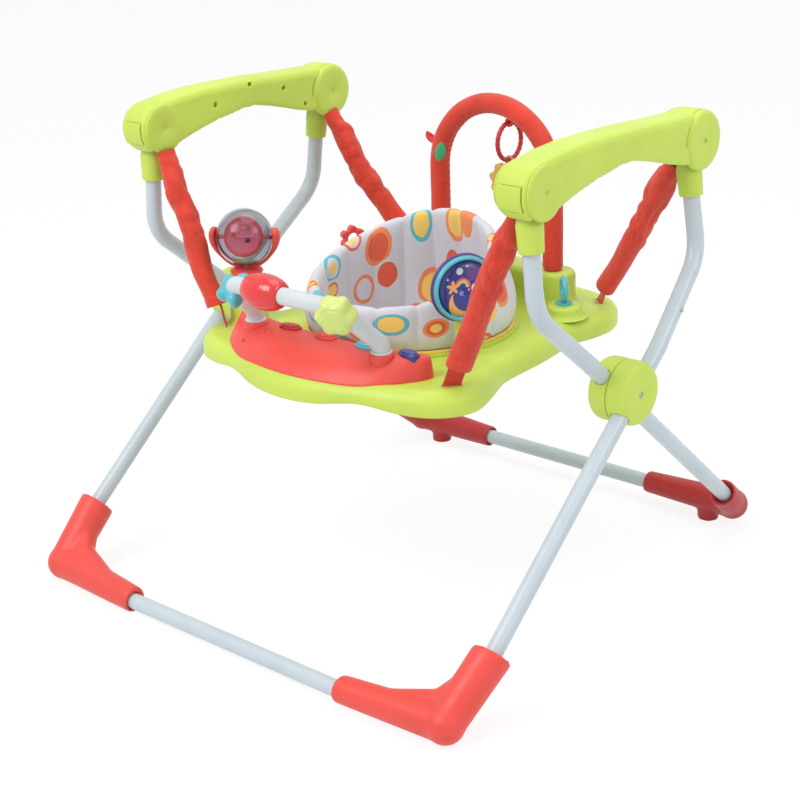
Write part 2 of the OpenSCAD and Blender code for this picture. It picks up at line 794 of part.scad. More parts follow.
// One half of a rail, built outwards from the middle plane; face is 1 for the outer half
module rail_half(face) difference() {
  union() {
    difference() {
      for (i = [0 : len(rail_edges) - 1])
        slab(rail_x + face * (rail_edge_x(i) - (i == 0 ? 0 : eps)), rail_x + face * rail_edge_x(i + 1))
          rail_profile(rail_edges[i][0]);
      for (i = [0 : len(rail_edges) - 2]) if (rail_edge_x(i) < rail_w / 2 - rail_wall)
        slab(rail_x + face * (i == 0 ? -overrun : rail_edge_x(i) - eps),
          rail_x + face * min(rail_edge_x(i + 1), rail_w / 2 - rail_wall)) rail_hollow(rail_edges[i][0]);
    }
    for (y = [-post_half_gap, post_half_gap])
      slab(rail_x + face * (head_w / 2 + run_gap), rail_x + face * (rail_w / 2 - rail_wall / 2))
        translate([y, pin_z]) circle(boss_r);
    slab(rail_x + face * (rail_w / 2 - rail_wall), rail_x + face * (rail_w / 2 + cap_rise))
      translate([post_half_gap, pin_z]) circle(rail_end_r * cap_share - rail_edges[len(rail_edges) - 1][0]);
    for (s = rail_screw_shares)
      slab(rail_x, rail_x + face * (rail_w / 2 - rail_wall / 2))
        translate([post_half_gap * s[0], pin_z + rail_end_r * s[1]]) circle(screw_boss_r);
  }
  for (y = [-post_half_gap, post_half_gap])
    x_rod([rail_x, y, pin_z], pin_r + pin_gap, rail_w - 2 * rail_wall);
  translate([rail_x - button_w / 2, -post_half_gap - rail_end_r - overrun, pin_z + button_drop - button_h])
    cube([button_w, rail_end_r, button_h]);
}

module arm_outer_shell(side) color(lime) sided(side) in_place() difference() {
  rail_half(1);
  for (y = [-post_half_gap, post_half_gap])
    x_rod([rail_x + rail_w / 2 + cap_rise, y, pin_z], cap_recess_r, 2 * (cap_recess + cap_rise));
  for (s = rail_screw_shares)
    x_rod([rail_x, post_half_gap * s[0], pin_z + rail_end_r * s[1]], screw_r + fit_gap, 2 * screw_len);
}

module arm_inner_shell(side) color(lime) sided(side) in_place() difference() {
  union() {
    rail_half(-1);
    for (y = [-post_half_gap, post_half_gap])
      slab(rail_x - rail_w / 2 + rail_wall / 2, rail_x - rail_w / 2 + rail_wall + stud_len)
        translate([y, pin_z - stud_drop]) circle(stud_r);
  }
  for (s = rail_screw_shares) {
    place = [rail_x, post_half_gap * s[0], pin_z + rail_end_r * s[1]];
    x_rod(place, screw_r + fit_gap, rail_w);
    x_rod(place - [rail_w / 2, 0, 0], screw_head_r + fit_gap, 2 * screw_sink);
  }
}

module arm_screws() color(steel) in_place() for (side = [-1, 1]) sided(side)
  for (s = rail_screw_shares) {
    head_x = rail_x - rail_w / 2 + screw_sink;
    place = [head_x, post_half_gap * s[0], pin_z + rail_end_r * s[1]];
    x_rod(place - [screw_head_h / 2, 0, 0], screw_head_r, screw_head_h);
    x_rod(place + [(rail_x + screw_len - head_x - overrun) / 2, 0, 0], screw_r,
      rail_x + screw_len - head_x - overrun);
  }

module arm_pivot_pins() color(steel) in_place() for (side = [-1, 1]) sided(side)
  for (y = [-post_half_gap, post_half_gap])
    x_rod([rail_x, y, pin_z], pin_r, rail_w - 2 * rail_wall - fit_gap);

// A push button in the rail's front end, with a finger towards the hook
module release_button(side) color(lime) sided(side) in_place() {
  low = pin_z + button_drop - button_h + run_gap;
  intersection() {
    difference() {
      x_rod([rail_x, -post_half_gap, pin_z], rail_end_r, button_w);
      x_rod([rail_x, -post_half_gap, pin_z], rail_end_r - button_t, button_w + overrun);
    }
    translate([rail_x - button_w / 2 + run_gap, -post_half_gap - rail_end_r - overrun, low])
      cube([button_w - 2 * run_gap, rail_end_r - run_gap, button_h - 2 * run_gap]);
  }
}

// Suspension

function ends(front) = front ? [top_front, slot_front] : [top_rear, slot_rear];

function spring_line(front) = unit(ends(front)[1] - ends(front)[0]);

function spring_len(front) = norm(ends(front)[1] - ends(front)[0]);

// Direction of a strap's width: level, and square to its pull
function strap_wide(front) = unit(cross([0, 0, 1], spring_line(front)));

module spring_sleeve(side, front) {
  l = spring_len(front) * sleeve_end_share;
  waves = 2 * sleeve_gathers;
  gathered = [for (i = [0 : waves])
    [sleeve_r - (i % 2) * sleeve_gather_depth, l * sleeve_gather_share * i / waves]];
  smooth = [[sleeve_low_r - sleeve_gather_depth, l * (sleeve_gather_share + 1) / 2],
    [sleeve_low_r, l * sleeve_hem_share], [sleeve_low_r - sleeve_flare, l]];
  color(coral) sided(side) in_place()
    along(ends(front)[0], ends(front)[1])
      rotate_extrude()
        polygon(concat([[sleeve_bore_r, 0]], gathered, smooth, [[sleeve_bore_r, l]]));
}

// Spring wire: eye on the rail's stud, stem, coil, stem, eye through the strap's loop
function eye_top(front) = let (p = ends(front)[0])
  [rail_x - rail_w / 2 + rail_wall + stud_len / 2, p[1],
    pin_z - stud_drop - (eye_r - spring_wire_r - stud_r - fit_gap)];

function spring_path(front) = let (
    d = spring_line(front), w = strap_wide(front), v = cross(d, w),
    top = ends(front)[0], e = eye_top(front),
    coil_len = spring_len(front) * spring_coil_share, n = spring_turns * rings_per_turn,
    low = top + d * (coil_len + 2 * spring_stem + low_eye_r)
  ) concat(
    [for (a = [45 : 35 : 360]) e + eye_r * [0, sin(a), -cos(a)]],
    [e - [0, 0, eye_r + spring_stem]],
    [for (i = [0 : n]) let (
        a = 360 * i / rings_per_turn,
        r = spring_r * min(1, i / rings_per_turn, (n - i) / rings_per_turn))
      top + d * (spring_stem + coil_len * i / n) + r * (cos(a) * w + sin(a) * v)],
    [for (a = [0 : 36 : 320]) low - low_eye_r * cos(a) * d + low_eye_r * sin(a) * w]
  );

module bounce_springs() color(steel) in_place() for (side = [-1, 1]) for (front = [true, false])
  sided(side) wire(spring_path(front), spring_wire_r, [1, 0, 0]);

// Least clear gap between turns of the coil
function coil_gap(front) = spring_len(front) * spring_coil_share / spring_turns - 2 * spring_wire_r;
echo(least_gap_of_spring_turns = min(coil_gap(true), coil_gap(false)));

// Local frame of a strap: x along its width, z along the spring's line
module strap_frame(front, at) {
  d = spring_line(front);
  w = strap_wide(front);
  v = cross(d, w);
  p = ends(front)[0] + d * at;
  multmatrix([[w[0], v[0], d[0], p[0]], [w[1], v[1], d[1], p[1]], [w[2], v[2], d[2], p[2]], [0, 0, 0, 1]])
    children();
}

function loop_at(front) = spring_len(front) * spring_coil_share + 2 * spring_stem + 2 * low_eye_r;

module strap(front) {
  tail = spring_len(front) + strap_tail - loop_at(front);
  strap_frame(front, loop_at(front)) {
    difference() {
      rotate([0, 90, 0]) cylinder(r = strap_loop_r, h = strap_tip_w, center = true);
      rotate([0, 90, 0]) cylinder(r = strap_bore_r, h = strap_tip_w + overrun, center = true);
    }
    translate([-strap_tip_w / 2, -strap_t / 2, strap_bore_r + strap_t / 2])
      cube([strap_tip_w, strap_t, tail - strap_bore_r]);
    translate([-sleeve_bore_r * 0.9, -strap_t / 2, strap_loop_r + strap_tip_w])
      cube([sleeve_bore_r * 1.8, strap_t, tail - strap_loop_r - strap_tip_w]);
    translate([-strap_w / 2, -strap_t / 2, spring_len(front) * sleeve_end_share + run_gap - loop_at(front)])
      cube([strap_w, strap_t, spring_len(front) * (1 - sleeve_end_share) + strap_tail - run_gap]);
    translate([-strap_anchor[0] / 2, -strap_anchor[1] / 2, tail - strap_anchor[2]]) cube(strap_anchor);
  }
}

module spring_straps() color(coral) in_place() for (side = [-1, 1]) for (front = [true, false])
  sided(side) strap(front);

// Tray and what stands on it

tray_curve = closed_curve(both_sides(tray_shares, tray_half_w, tray_back, 0), curve_steps);
console_curve =
  closed_curve(both_sides(console_shares, console_half_w, console_half_d, -console_y), curve_steps);

module deck(grow, h) translate([0, deck_y, 0]) {
  for (x = [-1, 1]) translate([x * (deck_half_w - deck_corner_r), 0, 0])
    cylinder(r = deck_corner_r + grow, h = h);
  translate([deck_corner_r - deck_half_w, -deck_corner_r - grow, 0])
    cube([2 * (deck_half_w - deck_corner_r), 2 * (deck_corner_r + grow), h]);
}

module tray() {
  low = tray_top_z - tray_skirt;
  inner = tray_steps[len(tray_steps) - 1][0] + tray_wall;
  color(lime) in_place() difference() {
    union() {
      stepped(tray_curve, low, tray_top_z, tray_steps);
      translate([0, 0, tray_top_z - tray_wall]) deck(0, deck_h + tray_wall);
      translate([-globe_x, -globe_y, tray_top_z - tray_wall])
        cylinder(r1 = pedestal_r, r2 = pedestal_top_r, h = pedestal_h + tray_wall);
      translate([ring_x, ring_y, tray_top_z - tray_wall])
        cylinder(r = ring_boss_r, h = ring_boss_h + tray_wall);
    }
    translate([0, 0, low - overrun]) linear_extrude(tray_skirt - tray_steps[0][1] - tray_wall + overrun)
      polygon(inset_curve(tray_curve, tray_wall));
    translate([0, 0, low - overrun]) linear_extrude(tray_skirt - tray_wall + overrun)
      polygon(inset_curve(tray_curve, inner));
    translate([0, 0, low]) deck(-tray_wall, tray_skirt + deck_h - tray_wall);
    translate([-globe_x, -globe_y, low])
      cylinder(r1 = pedestal_r - tray_wall, r2 = pedestal_top_r - tray_wall,
        h = tray_skirt + pedestal_h - tray_wall);
    translate([ring_x, ring_y, low])
      cylinder(r = ring_boss_r - tray_wall, h = tray_skirt + ring_boss_h - tray_wall);
    translate([0, -seat_y, low]) cylinder(r = seat_hole_r, h = tray_skirt + deck_h);
    for (x = [-1, 1]) translate([x * arch_half_w, arch_y, low])
      cylinder(r = arch_spigot_r + fit_gap, h = tray_skirt + deck_h + overrun);
    for (side = [-1, 1]) for (front = [true, false]) sided(side) strap_frame(front, spring_len(front))
      translate([-strap_w / 2 - run_gap, -strap_t / 2 - run_gap, -tray_lip * 2])
        cube([strap_w + 2 * run_gap, strap_t + 2 * run_gap, tray_lip * 4]);
  }
}

module at_key(i) translate([key_places[i][0], -key_places[i][1], 0]) rotate(key_turns[i]) children();

module key_outline(grow) {
  r = (key_len * key_len + key_w * key_w) / (4 * key_w);
  intersection() {
    translate([0, r - key_w / 2]) circle(r + grow);
    translate([0, key_w / 2 - r]) circle(r + grow);
    square([key_len - key_w / 2 + 2 * grow, key_w + 2 * grow], center = true);
  }
}

module console_housing() {
  top = tray_top_z + console_h;
  color(coral) in_place() difference() {
    union() {
      stepped(console_curve, tray_top_z, top, console_steps);
      for (x = [-1, 1]) translate([x * bar_foot_x, -bar_foot_y, tray_top_z])
        cylinder(r = bar_socket_r, h = console_h + socket_h);
    }
    difference() {
      translate([0, 0, tray_top_z - overrun]) linear_extrude(console_h - console_steps[0][1] + overrun)
        polygon(inset_curve(console_curve, console_wall));
      for (x = [-1, 1]) translate([x * bar_foot_x, -bar_foot_y, tray_top_z])
        cylinder(r = bar_socket_r, h = console_h);
      for (i = [0 : len(key_places) - 1]) at_key(i) translate([0, 0, tray_top_z])
        linear_extrude(console_h) key_outline(console_wall);
    }
    for (x = [-1, 1]) translate([x * bar_foot_x, -bar_foot_y, bar_foot_z - bar_sink])
      cylinder(d = bar_d + 2 * fit_gap, h = console_h);
    for (i = [0 : len(key_places) - 1]) at_key(i) translate([0, 0, top - key_seat - key_travel - key_floor])
      linear_extrude(console_h) key_outline(run_gap);
    for (i = [0 : speaker_holes]) translate([-speaker_x, -speaker_y, top - speaker_depth])
      rotate(360 * i / speaker_holes) translate([i == speaker_holes ? 0 : speaker_r, 0, 0])
        cylinder(r = speaker_hole_r, h = console_h);
  }
}

module key(i, tint) color(tint) in_place() at_key(i)
  translate([0, 0, tray_top_z + console_h - key_seat - key_floor]) {
    linear_extrude(key_seat + key_floor + key_rise / 2) key_outline(0);
    linear_extrude(key_seat + key_floor + key_rise) key_outline(-key_rise / 2);
  }

module key_red() key(0, coral);

module key_coral() key(1, coral);

module key_teal() key(2, teal);

module key_navy() key(3, navy);

// Toy bar

function flip(p) = [-p[0], p[1], p[2]];

bar_knee = bar_end + [0, 0, bar_sink + socket_h + bar_stub];

function bar_path() = [bar_end, bar_knee, bar_corner, flip(bar_corner), flip(bar_knee), flip(bar_end)];

module toy_bar() color(white) in_place() bent_rod(bar_path(), bar_d, bar_bend_r);

// Stands the children's +Z square to the bar's plane
module at_corner(side) translate([side * bar_corner[0], bar_corner[1], bar_corner[2]])
  rotate([atan2(bar_lean, bar_rise - console_h), 0, 0]) rotate([90, 0, 0]) children();

// The bar with room round it
module bar_cut() bent_rod(bar_path(), bar_d + 2 * fit_gap, bar_bend_r);

module bar_flower() color(lime) in_place() difference() {
  at_corner(1) translate([0, 0, -corner_piece_t / 2]) linear_extrude(corner_piece_t) {
    circle(corner_piece_r * lobe_ring_share);
    for (i = [0 : corner_lobes - 1]) rotate(360 * i / corner_lobes)
      translate([corner_piece_r * lobe_ring_share, 0]) circle(corner_piece_r * lobe_share);
  }
  bar_cut();
}

module bar_star() color(teal) in_place() difference() {
  at_corner(-1) translate([0, 0, -corner_piece_t / 2]) linear_extrude(corner_piece_t)
    polygon([for (i = [0 : 2 * star_points - 1])
      corner_piece_r * (i % 2 == 0 ? 1 : star_share)
        * [cos(180 * i / star_points), sin(180 * i / star_points)]]);
  bar_cut();
}

// Oval bead, a revolved ellipse round the bar
module bar_bead() color(coral) in_place()
  translate([-bead_x, bar_corner[1], bar_corner[2]]) rotate([0, 90, 0])
  rotate_extrude() difference() {
    polygon([for (a = [-90 : 10 : 90])
      [bar_d / 2 + pin_gap + (bead_d / 2 - bar_d / 2 - pin_gap) * cos(a), bead_len / 2 * sin(a)]]);
    translate([0, -bead_len]) square([bar_d / 2 + pin_gap, 2 * bead_len]);
  }

// Globe on its pedestal; its axle points at the seat

globe_turn = atan2(globe_y - seat_y, globe_x);
globe_z = tray_top_z + pedestal_h + globe_rise;

module at_globe() translate([-globe_x, -globe_y, globe_z]) rotate(globe_turn) children();

module globe_stand() color(coral) in_place() {
  arm = globe_r + run_gap + fork_t / 2;
  base_z = -globe_rise;
  at_globe() {
    translate([0, 0, base_z]) cylinder(r1 = fork_base_r, r2 = fork_t, h = globe_rise - arm);
    rotate([90, 0, 0]) rotate(180) rotate_extrude(angle = 180)
      translate([arm, 0]) circle(d = fork_t * fork_share);
    for (s = [-1, 1]) {
      x_rod([s * arm, 0, 0], 2 * fork_r, fork_t);
      x_rod([s * (arm - (fork_t + globe_grip + globe_wall) / 2), 0, 0], fork_pin_r,
        globe_grip + globe_wall + fork_t);
    }
  }
}

// Ball wall turned about the axle
module globe_shell() color([0.85, 0.85, 0.88, 0.4]) in_place() at_globe() rotate([0, 90, 0])
  rotate_extrude() difference() {
    circle(globe_r);
    circle(globe_r - globe_wall);
    translate([-2 * globe_r, -2 * globe_r]) square([2 * globe_r + fork_pin_r + pin_gap, 4 * globe_r]);
  }

// Two cups on an axle with hollow ends, and beads round its middle
module globe_core() color(coral) in_place() at_globe() {
  half = sqrt(pow(globe_r - globe_wall, 2) - core_end_r * core_end_r) - fit_gap;
  bore_len = half - globe_r + fork_t + globe_grip;
  x_rod([0, 0, 0], core_rod_r, 2 * (half - 2 * bore_len) + overrun);
  for (s = [-1, 1]) {
    taper([s * core_cup_h / 4, 0, 0], [s * core_cup_h, 0, 0], core_rod_r, core_cup_r);
    difference() {
      x_rod([s * (half - bore_len), 0, 0], core_end_r, 2 * bore_len);
      x_rod([s * half, 0, 0], fork_pin_r + run_gap, 2 * bore_len);
    }
  }
  for (i = [0 : core_beads - 1]) rotate([360 * i / core_beads, 0, 0])
    translate([0, 0, core_rod_r + core_bead_r * 0.8]) sphere(core_bead_r);
}

// Spinning disc that faces away from the seat

disc_turn = atan2(seat_y - disc_y, disc_x);
disc_z = tray_top_z + disc_rise;

module at_disc() translate([disc_x, -disc_y, disc_z]) rotate(disc_turn) children();

module disc_stand() color(lime) in_place() at_disc() {
  back = stand_back + disc_t / 2;
  translate([-back, 0, -disc_rise]) cylinder(r = stand_base_r, h = stand_base_h);
  translate([-back, 0, -disc_rise]) cylinder(r = stand_r, h = disc_rise + stand_r);
  x_rod([(disc_t / 4 - run_gap - back) / 2, 0, 0], stand_pin_r, back + disc_t / 4 - run_gap);
  x_rod([-disc_t / 2 - run_gap - stand_back / 4, 0, 0], stand_r, stand_back / 2);
}

module spinner_disc() color(navy) in_place() at_disc() difference() {
  union() {
    x_rod([0, 0, 0], disc_r - disc_rim / 2, disc_t);
    difference() {
      x_rod([0, 0, 0], disc_r, disc_rim_t);
      x_rod([0, 0, 0], disc_r - disc_rim, disc_rim_t + overrun);
    }
  }
  x_rod([-disc_t / 4, 0, 0], stand_pin_r + pin_gap, disc_t);
}

// Flower on a stalk, facing the seat

module flower_toy() color(coral) in_place()
  translate([-flower_x, flower_y, tray_top_z]) rotate(-atan2(flower_y + seat_y, flower_x)) {
    cylinder(r = stalk_r, h = flower_rise - flower_r);
    cylinder(r = 2 * stalk_r, h = stalk_r);
    translate([-flower_t / 2, 0, flower_rise]) rotate([90, 0, 90]) linear_extrude(flower_t) difference() {
      union() {
        circle(flower_r);
        for (i = [0 : flower_lobes - 1]) rotate(360 * (i + 1 / 2) / flower_lobes)
          translate([flower_r, 0]) circle(flower_lobe_r);
      }
      circle(flower_hole_r);
    }
  }

// Standing ring on its boss, facing the seat

module ring_toy() color(teal) in_place()
  translate([ring_x, ring_y, tray_top_z + ring_boss_h]) rotate(atan2(ring_y + seat_y, ring_x)) {
    cylinder(r = ring_base_r, h = ring_base_h);
    cylinder(r = ring_bar_r, h = ring_base_h + ring_stem_h);
    translate([0, 0, ring_base_h + ring_stem_h + ring_r]) rotate([0, 90, 0])
      rotate_extrude() translate([ring_r, 0]) circle(ring_bar_r);
  }

// Padded arch with a leaf and an eyelet, the ring link and the hanging toy

eye_bore_r = link_bar_r + run_gap;
eyelet_r = eye_bore_r + eyelet_wall;
eyelet_z = arch_bow_z + sqrt(pow(arch_half_w - arch_pad_r, 2) - link_x * link_x) - eyelet_r + eyelet_sink;
link_z = eyelet_z - link_r;

// Bored eye across the part, round the origin
module bored_eye(r, w) rotate([90, 0, 0]) difference() {
  translate([0, 0, -w / 2]) cylinder(r = r, h = w);
  translate([0, 0, -w]) cylinder(r = eye_bore_r, h = 2 * w);
}

module toy_arch() color(coral) in_place() {
  translate([0, arch_y, arch_bow_z]) rotate([90, 0, 0])
    rotate_extrude(angle = 180) translate([arch_half_w, 0]) circle(arch_pad_r);
  for (x = [-1, 1]) translate([x * arch_half_w, arch_y, 0]) {
    translate([0, 0, arch_z]) cylinder(r = arch_pad_r, h = arch_leg_h);
    translate([0, 0, arch_z - arch_spigot_h]) cylinder(r = arch_spigot_r, h = arch_spigot_h + arch_pad_r);
  }
  translate([link_x, arch_y, eyelet_z]) bored_eye(eyelet_r, eyelet_w);
  translate([-arch_half_w * cos(45), arch_y, arch_bow_z + arch_half_w * sin(45)]) rotate([90, -45, 0])
    translate([-arch_pad_r - leaf_lift, 0, -leaf_t / 2]) linear_extrude(leaf_t) intersection() {
      translate([0, leaf_w / 2]) circle(leaf_w);
      translate([0, -leaf_w / 2]) circle(leaf_w);
    }
}

module ring_link() color(coral) in_place() translate([link_x, arch_y, link_z]) rotate([0, 90, 0])
  rotate_extrude() translate([link_r, 0]) circle(link_bar_r);

module hanging_toy() {
  eye_r = eye_bore_r + toy_eye_wall;
  reach = toy_r + toy_lobe_r * toy_lobe_share;
  color([0.83, 0.68, 0.42]) in_place() translate([link_x, arch_y, link_z - link_r]) {
    bored_eye(eye_r, toy_t / 2);
    translate([0, toy_t / 2, toy_eye_lap - eye_r - reach]) rotate([90, 0, 0]) linear_extrude(toy_t) {
      circle(toy_r);
      for (i = [0 : toy_lobes - 1]) rotate(360 * i / toy_lobes)
        translate([reach - toy_lobe_r, 0]) circle(toy_lobe_r);
    }
  }
}

// Seat

module seat_ring() color(white) in_place() translate([0, -seat_y, 0]) {
  low = tray_top_z - tray_wall - run_gap;
  barrel = seat_hole_r - run_gap;
  rotate_extrude() polygon([
    [barrel - seat_barrel_t, low - seat_snap_h], [barrel, low - seat_snap_h],
    [barrel + seat_snap, low - seat_snap_h / 2], [barrel + seat_snap, low], [barrel, low],
    [barrel, tray_top_z + run_gap], [seat_ring_r, tray_top_z + run_gap],
    [seat_ring_r, seat_top], [barrel - seat_barrel_t, seat_top]]);
}

// Share of the way from the seat's front to its back
function seat_share(a) = pow((1 - cos(a)) / 2, 1.4);

function seat_edge(a) = tray_top_z + seat_front_h + (seat_back_h - seat_front_h) * seat_share(a);

// Half section of the padded seat at angle a from the front, as [radius, height]
function seat_section(a) = let (
    barrel = seat_hole_r - run_gap - seat_barrel_t, h = seat_edge(a), floor_z = tray_top_z - seat_depth,
    lean = seat_back_in * seat_share(a), puff = seat_channel * abs(sin(seat_channels * a / 2)),
    rim = seat_top + fit_gap, over = barrel + seat_pad_t,
    rise = h - rim, p = seat_pad_t
  ) [
    [barrel * 0.45, floor_z], [barrel * 0.86, floor_z + seat_depth * 0.42],
    [barrel - fit_gap, seat_top - seat_flange_t * 2], [barrel - fit_gap, rim], [over - p * 0.08, rim],
    [over + p * 0.23, rim + rise * 0.35], [over - lean * 0.6, rim + rise * 0.75],
    [over - lean - p * 0.3, h - p * 0.3],
    [over - lean - p / 2, h], [over - lean - p * 1.23, h - p * 0.38],
    [over - lean * 0.6 - p * 1.6 - puff, rim + rise * 0.7], [barrel - p * 1.46 - puff, rim + rise * 0.2],
    [barrel - p * 1.6 - puff, seat_top - seat_depth * 0.3], [barrel * 0.45, floor_z + p]
  ];

module seat_shell() {
  n = seat_sections;
  m = len(seat_section(0));
  c = m * n;
  pts = concat(
    [for (i = [0 : n - 1]) let (a = 360 * i / n)
      for (s = seat_section(a)) [s[0] * sin(a), -s[0] * cos(a), s[1]]],
    [[0, 0, tray_top_z - seat_depth], [0, 0, tray_top_z - seat_depth + seat_pad_t]]);
  walls = [for (i = [0 : n - 1]) for (k = [0 : m - 2])
    let (a = i * m + k, b = ((i + 1) % n) * m + k) each [[a, a + 1, b], [b, a + 1, b + 1]]];
  caps = [for (i = [0 : n - 1]) let (a = i * m, b = ((i + 1) % n) * m)
    each [[c, a, b], [c + 1, b + m - 1, a + m - 1]]];
  polyhedron(pts, concat(walls, caps));
}

module seat_pad() color(white) in_place() translate([0, -seat_y, 0]) difference() {
  seat_shell();
  for (s = [-1, 1])
    translate([s * leg_hole_x, -leg_hole_y, tray_top_z - seat_depth]) rotate([leg_hole_tilt, 0, 0])
    cylinder(r = leg_hole_r, h = 2 * seat_depth * 0.45, center = true);
}

arm_outer_shell(1);  // arm_outer_shell_right
arm_outer_shell(-1);  // arm_outer_shell_left
arm_inner_shell(1);  // arm_inner_shell_right
arm_inner_shell(-1);  // arm_inner_shell_left
arm_screws();
arm_pivot_pins();
release_button(1);  // release_button_right
release_button(-1);  // release_button_left
front_leg(1);  // front_leg_right
front_leg(-1);  // front_leg_left
rear_upper_tube(1);  // rear_upper_tube_right
rear_upper_tube(-1);  // rear_upper_tube_left
front_base_bar();
front_foot(1);  // front_foot_right
front_foot(-1);  // front_foot_left
rear_knuckle(1);  // rear_knuckle_right
rear_knuckle(-1);  // rear_knuckle_left
hub_outer_shell(1);  // hub_outer_shell_right
hub_outer_shell(-1);  // hub_outer_shell_left
hub_bolts();
snap_buttons();
rear_leg(1);  // rear_leg_right
rear_leg(-1);  // rear_leg_left
front_upper_tube(1);  // front_upper_tube_right
front_upper_tube(-1);  // front_upper_tube_left
rear_base_bar();
rear_foot(1);  // rear_foot_right
rear_foot(-1);  // rear_foot_left
front_knuckle(1);  // front_knuckle_right
front_knuckle(-1);  // front_knuckle_left
hub_inner_shell(1);  // hub_inner_shell_right
hub_inner_shell(-1);  // hub_inner_shell_left
spring_sleeve(1, true);  // spring_sleeve_front_right
spring_sleeve(-1, true);  // spring_sleeve_front_left
spring_sleeve(1, false);  // spring_sleeve_rear_right
spring_sleeve(-1, false);  // spring_sleeve_rear_left
bounce_springs();
spring_straps();
tray();
console_housing();
toy_bar();
bar_star();
bar_flower();
toy_arch();
globe_stand();
disc_stand();
flower_toy();
ring_toy();
seat_ring();
seat_pad();
globe_shell();
globe_core();
bar_bead();
spinner_disc();
ring_link();
hanging_toy();
key_red();
key_coral();
key_teal();
key_navy();
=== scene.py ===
import math

import bmesh
import bpy
import numpy as np
from mathutils import Matrix, Vector, noise


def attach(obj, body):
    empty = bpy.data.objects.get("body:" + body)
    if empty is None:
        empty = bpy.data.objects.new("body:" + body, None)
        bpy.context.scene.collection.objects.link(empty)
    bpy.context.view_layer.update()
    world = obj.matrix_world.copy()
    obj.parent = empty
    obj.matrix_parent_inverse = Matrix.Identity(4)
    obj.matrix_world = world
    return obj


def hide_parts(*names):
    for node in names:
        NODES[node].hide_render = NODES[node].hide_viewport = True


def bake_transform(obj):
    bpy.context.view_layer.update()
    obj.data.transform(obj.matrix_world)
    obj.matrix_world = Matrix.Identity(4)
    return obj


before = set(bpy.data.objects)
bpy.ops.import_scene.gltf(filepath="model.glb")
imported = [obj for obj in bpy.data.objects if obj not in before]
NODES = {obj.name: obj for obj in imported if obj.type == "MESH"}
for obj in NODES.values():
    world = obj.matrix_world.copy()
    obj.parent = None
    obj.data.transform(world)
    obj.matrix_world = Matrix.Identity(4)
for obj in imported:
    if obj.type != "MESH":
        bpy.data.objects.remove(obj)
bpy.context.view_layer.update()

# Places in part.scad are measured from the hub; the row frame's y is this much more
HUB_Y = 0.0075
SIDES = {"right": 1, "left": -1}


def place(x, y, z):
    """A point given in millimetres from the hub's axis, in the row frame."""
    return Vector((x / 1000, y / 1000 + HUB_Y, z / 1000))


# Colours and materials

def tint(r, g, b):
    """A colour written as screen values from 0 to 255, as linear light."""
    def linear(c):
        c /= 255
        return c / 12.92 if c <= 0.04045 else ((c + 0.055) / 1.055) ** 2.4
    return (linear(r), linear(g), linear(b), 1.0)


LIME = tint(198, 221, 88)
CORAL = tint(232, 76, 66)
RED = tint(222, 44, 44)
CLOTH = tint(226, 66, 46)
WHITE = tint(206, 214, 218)
PAINT = tint(194, 206, 214)
TEAL = tint(84, 184, 200)
NAVY = tint(42, 48, 138)
PURPLE = tint(96, 56, 132)
YELLOW = tint(247, 208, 98)
ORANGE = tint(240, 138, 76)
TAN = tint(214, 168, 92)
STEEL = tint(178, 182, 186)
DOT_RED = tint(232, 88, 52)


def shade(colour, factor):
    return tuple(min(1.0, c * factor) for c in colour[:3]) + (1.0,)


class Paint:
    """Builds one node material."""

    def __init__(self, name):
        self.material = bpy.data.materials.new(name)
        self.material.use_nodes = True
        self.tree = self.material.node_tree
        self.bsdf = self.tree.nodes["Principled BSDF"]
        self.coords = self.tree.nodes.new("ShaderNodeTexCoord")

    def node(self, kind, inputs=None, **settings):
        made = self.tree.nodes.new("ShaderNode" + kind)
        for key, value in settings.items():
            setattr(made, key, value)
        for key, value in (inputs or {}).items():
            self.put(made.inputs[key], value)
        return made

    def put(self, socket, value):
        if isinstance(value, bpy.types.NodeSocket):
            self.tree.links.new(value, socket)
        else:
            socket.default_value = value

    def set(self, **values):
        for key, value in values.items():
            self.put(self.bsdf.inputs[key.replace("_", " ")], value)

    def math(self, operation, *values, clamp=False):
        made = self.node("Math", operation=operation, use_clamp=clamp)
        for socket, value in zip(made.inputs, values):
            self.put(socket, value)
        return made.outputs[0]

    def mix(self, factor, a, b):
        made = self.node("Mix", data_type="RGBA")
        self.put(made.inputs[0], factor)
        self.put(made.inputs[6], a)
        self.put(made.inputs[7], b)
        return made.outputs[2]

    def noise(self, scale, detail=2.0, vector=None):
        made = self.node("TexNoise", {"Scale": scale, "Detail": detail})
        self.put(made.inputs["Vector"], vector or self.coords.outputs["Object"])
        return made.outputs["Fac"]

    def span(self, value, low, high, start=0.3, stop=0.7):
        made = self.node("MapRange", {"Value": value, "From Min": start, "From Max": stop,
                                      "To Min": low, "To Max": high})
        return made.outputs[0]

    def ramp(self, value, stops):
        """Steps of flat colour along a value."""
        made = self.node("ValToRGB", {0: value})
        made.color_ramp.interpolation = "CONSTANT"
        for at, colour in stops[2:]:
            made.color_ramp.elements.new(at)
        for element, (at, colour) in zip(made.color_ramp.elements, stops):
            element.position, element.color = at, colour
        return made.outputs["Color"]

    def bump(self, height, distance, strength=1.0, normal=None):
        made = self.node("Bump", {"Height": height, "Distance": distance, "Strength": strength})
        if normal is not None:
            self.put(made.inputs["Normal"], normal)
        return made.outputs["Normal"]


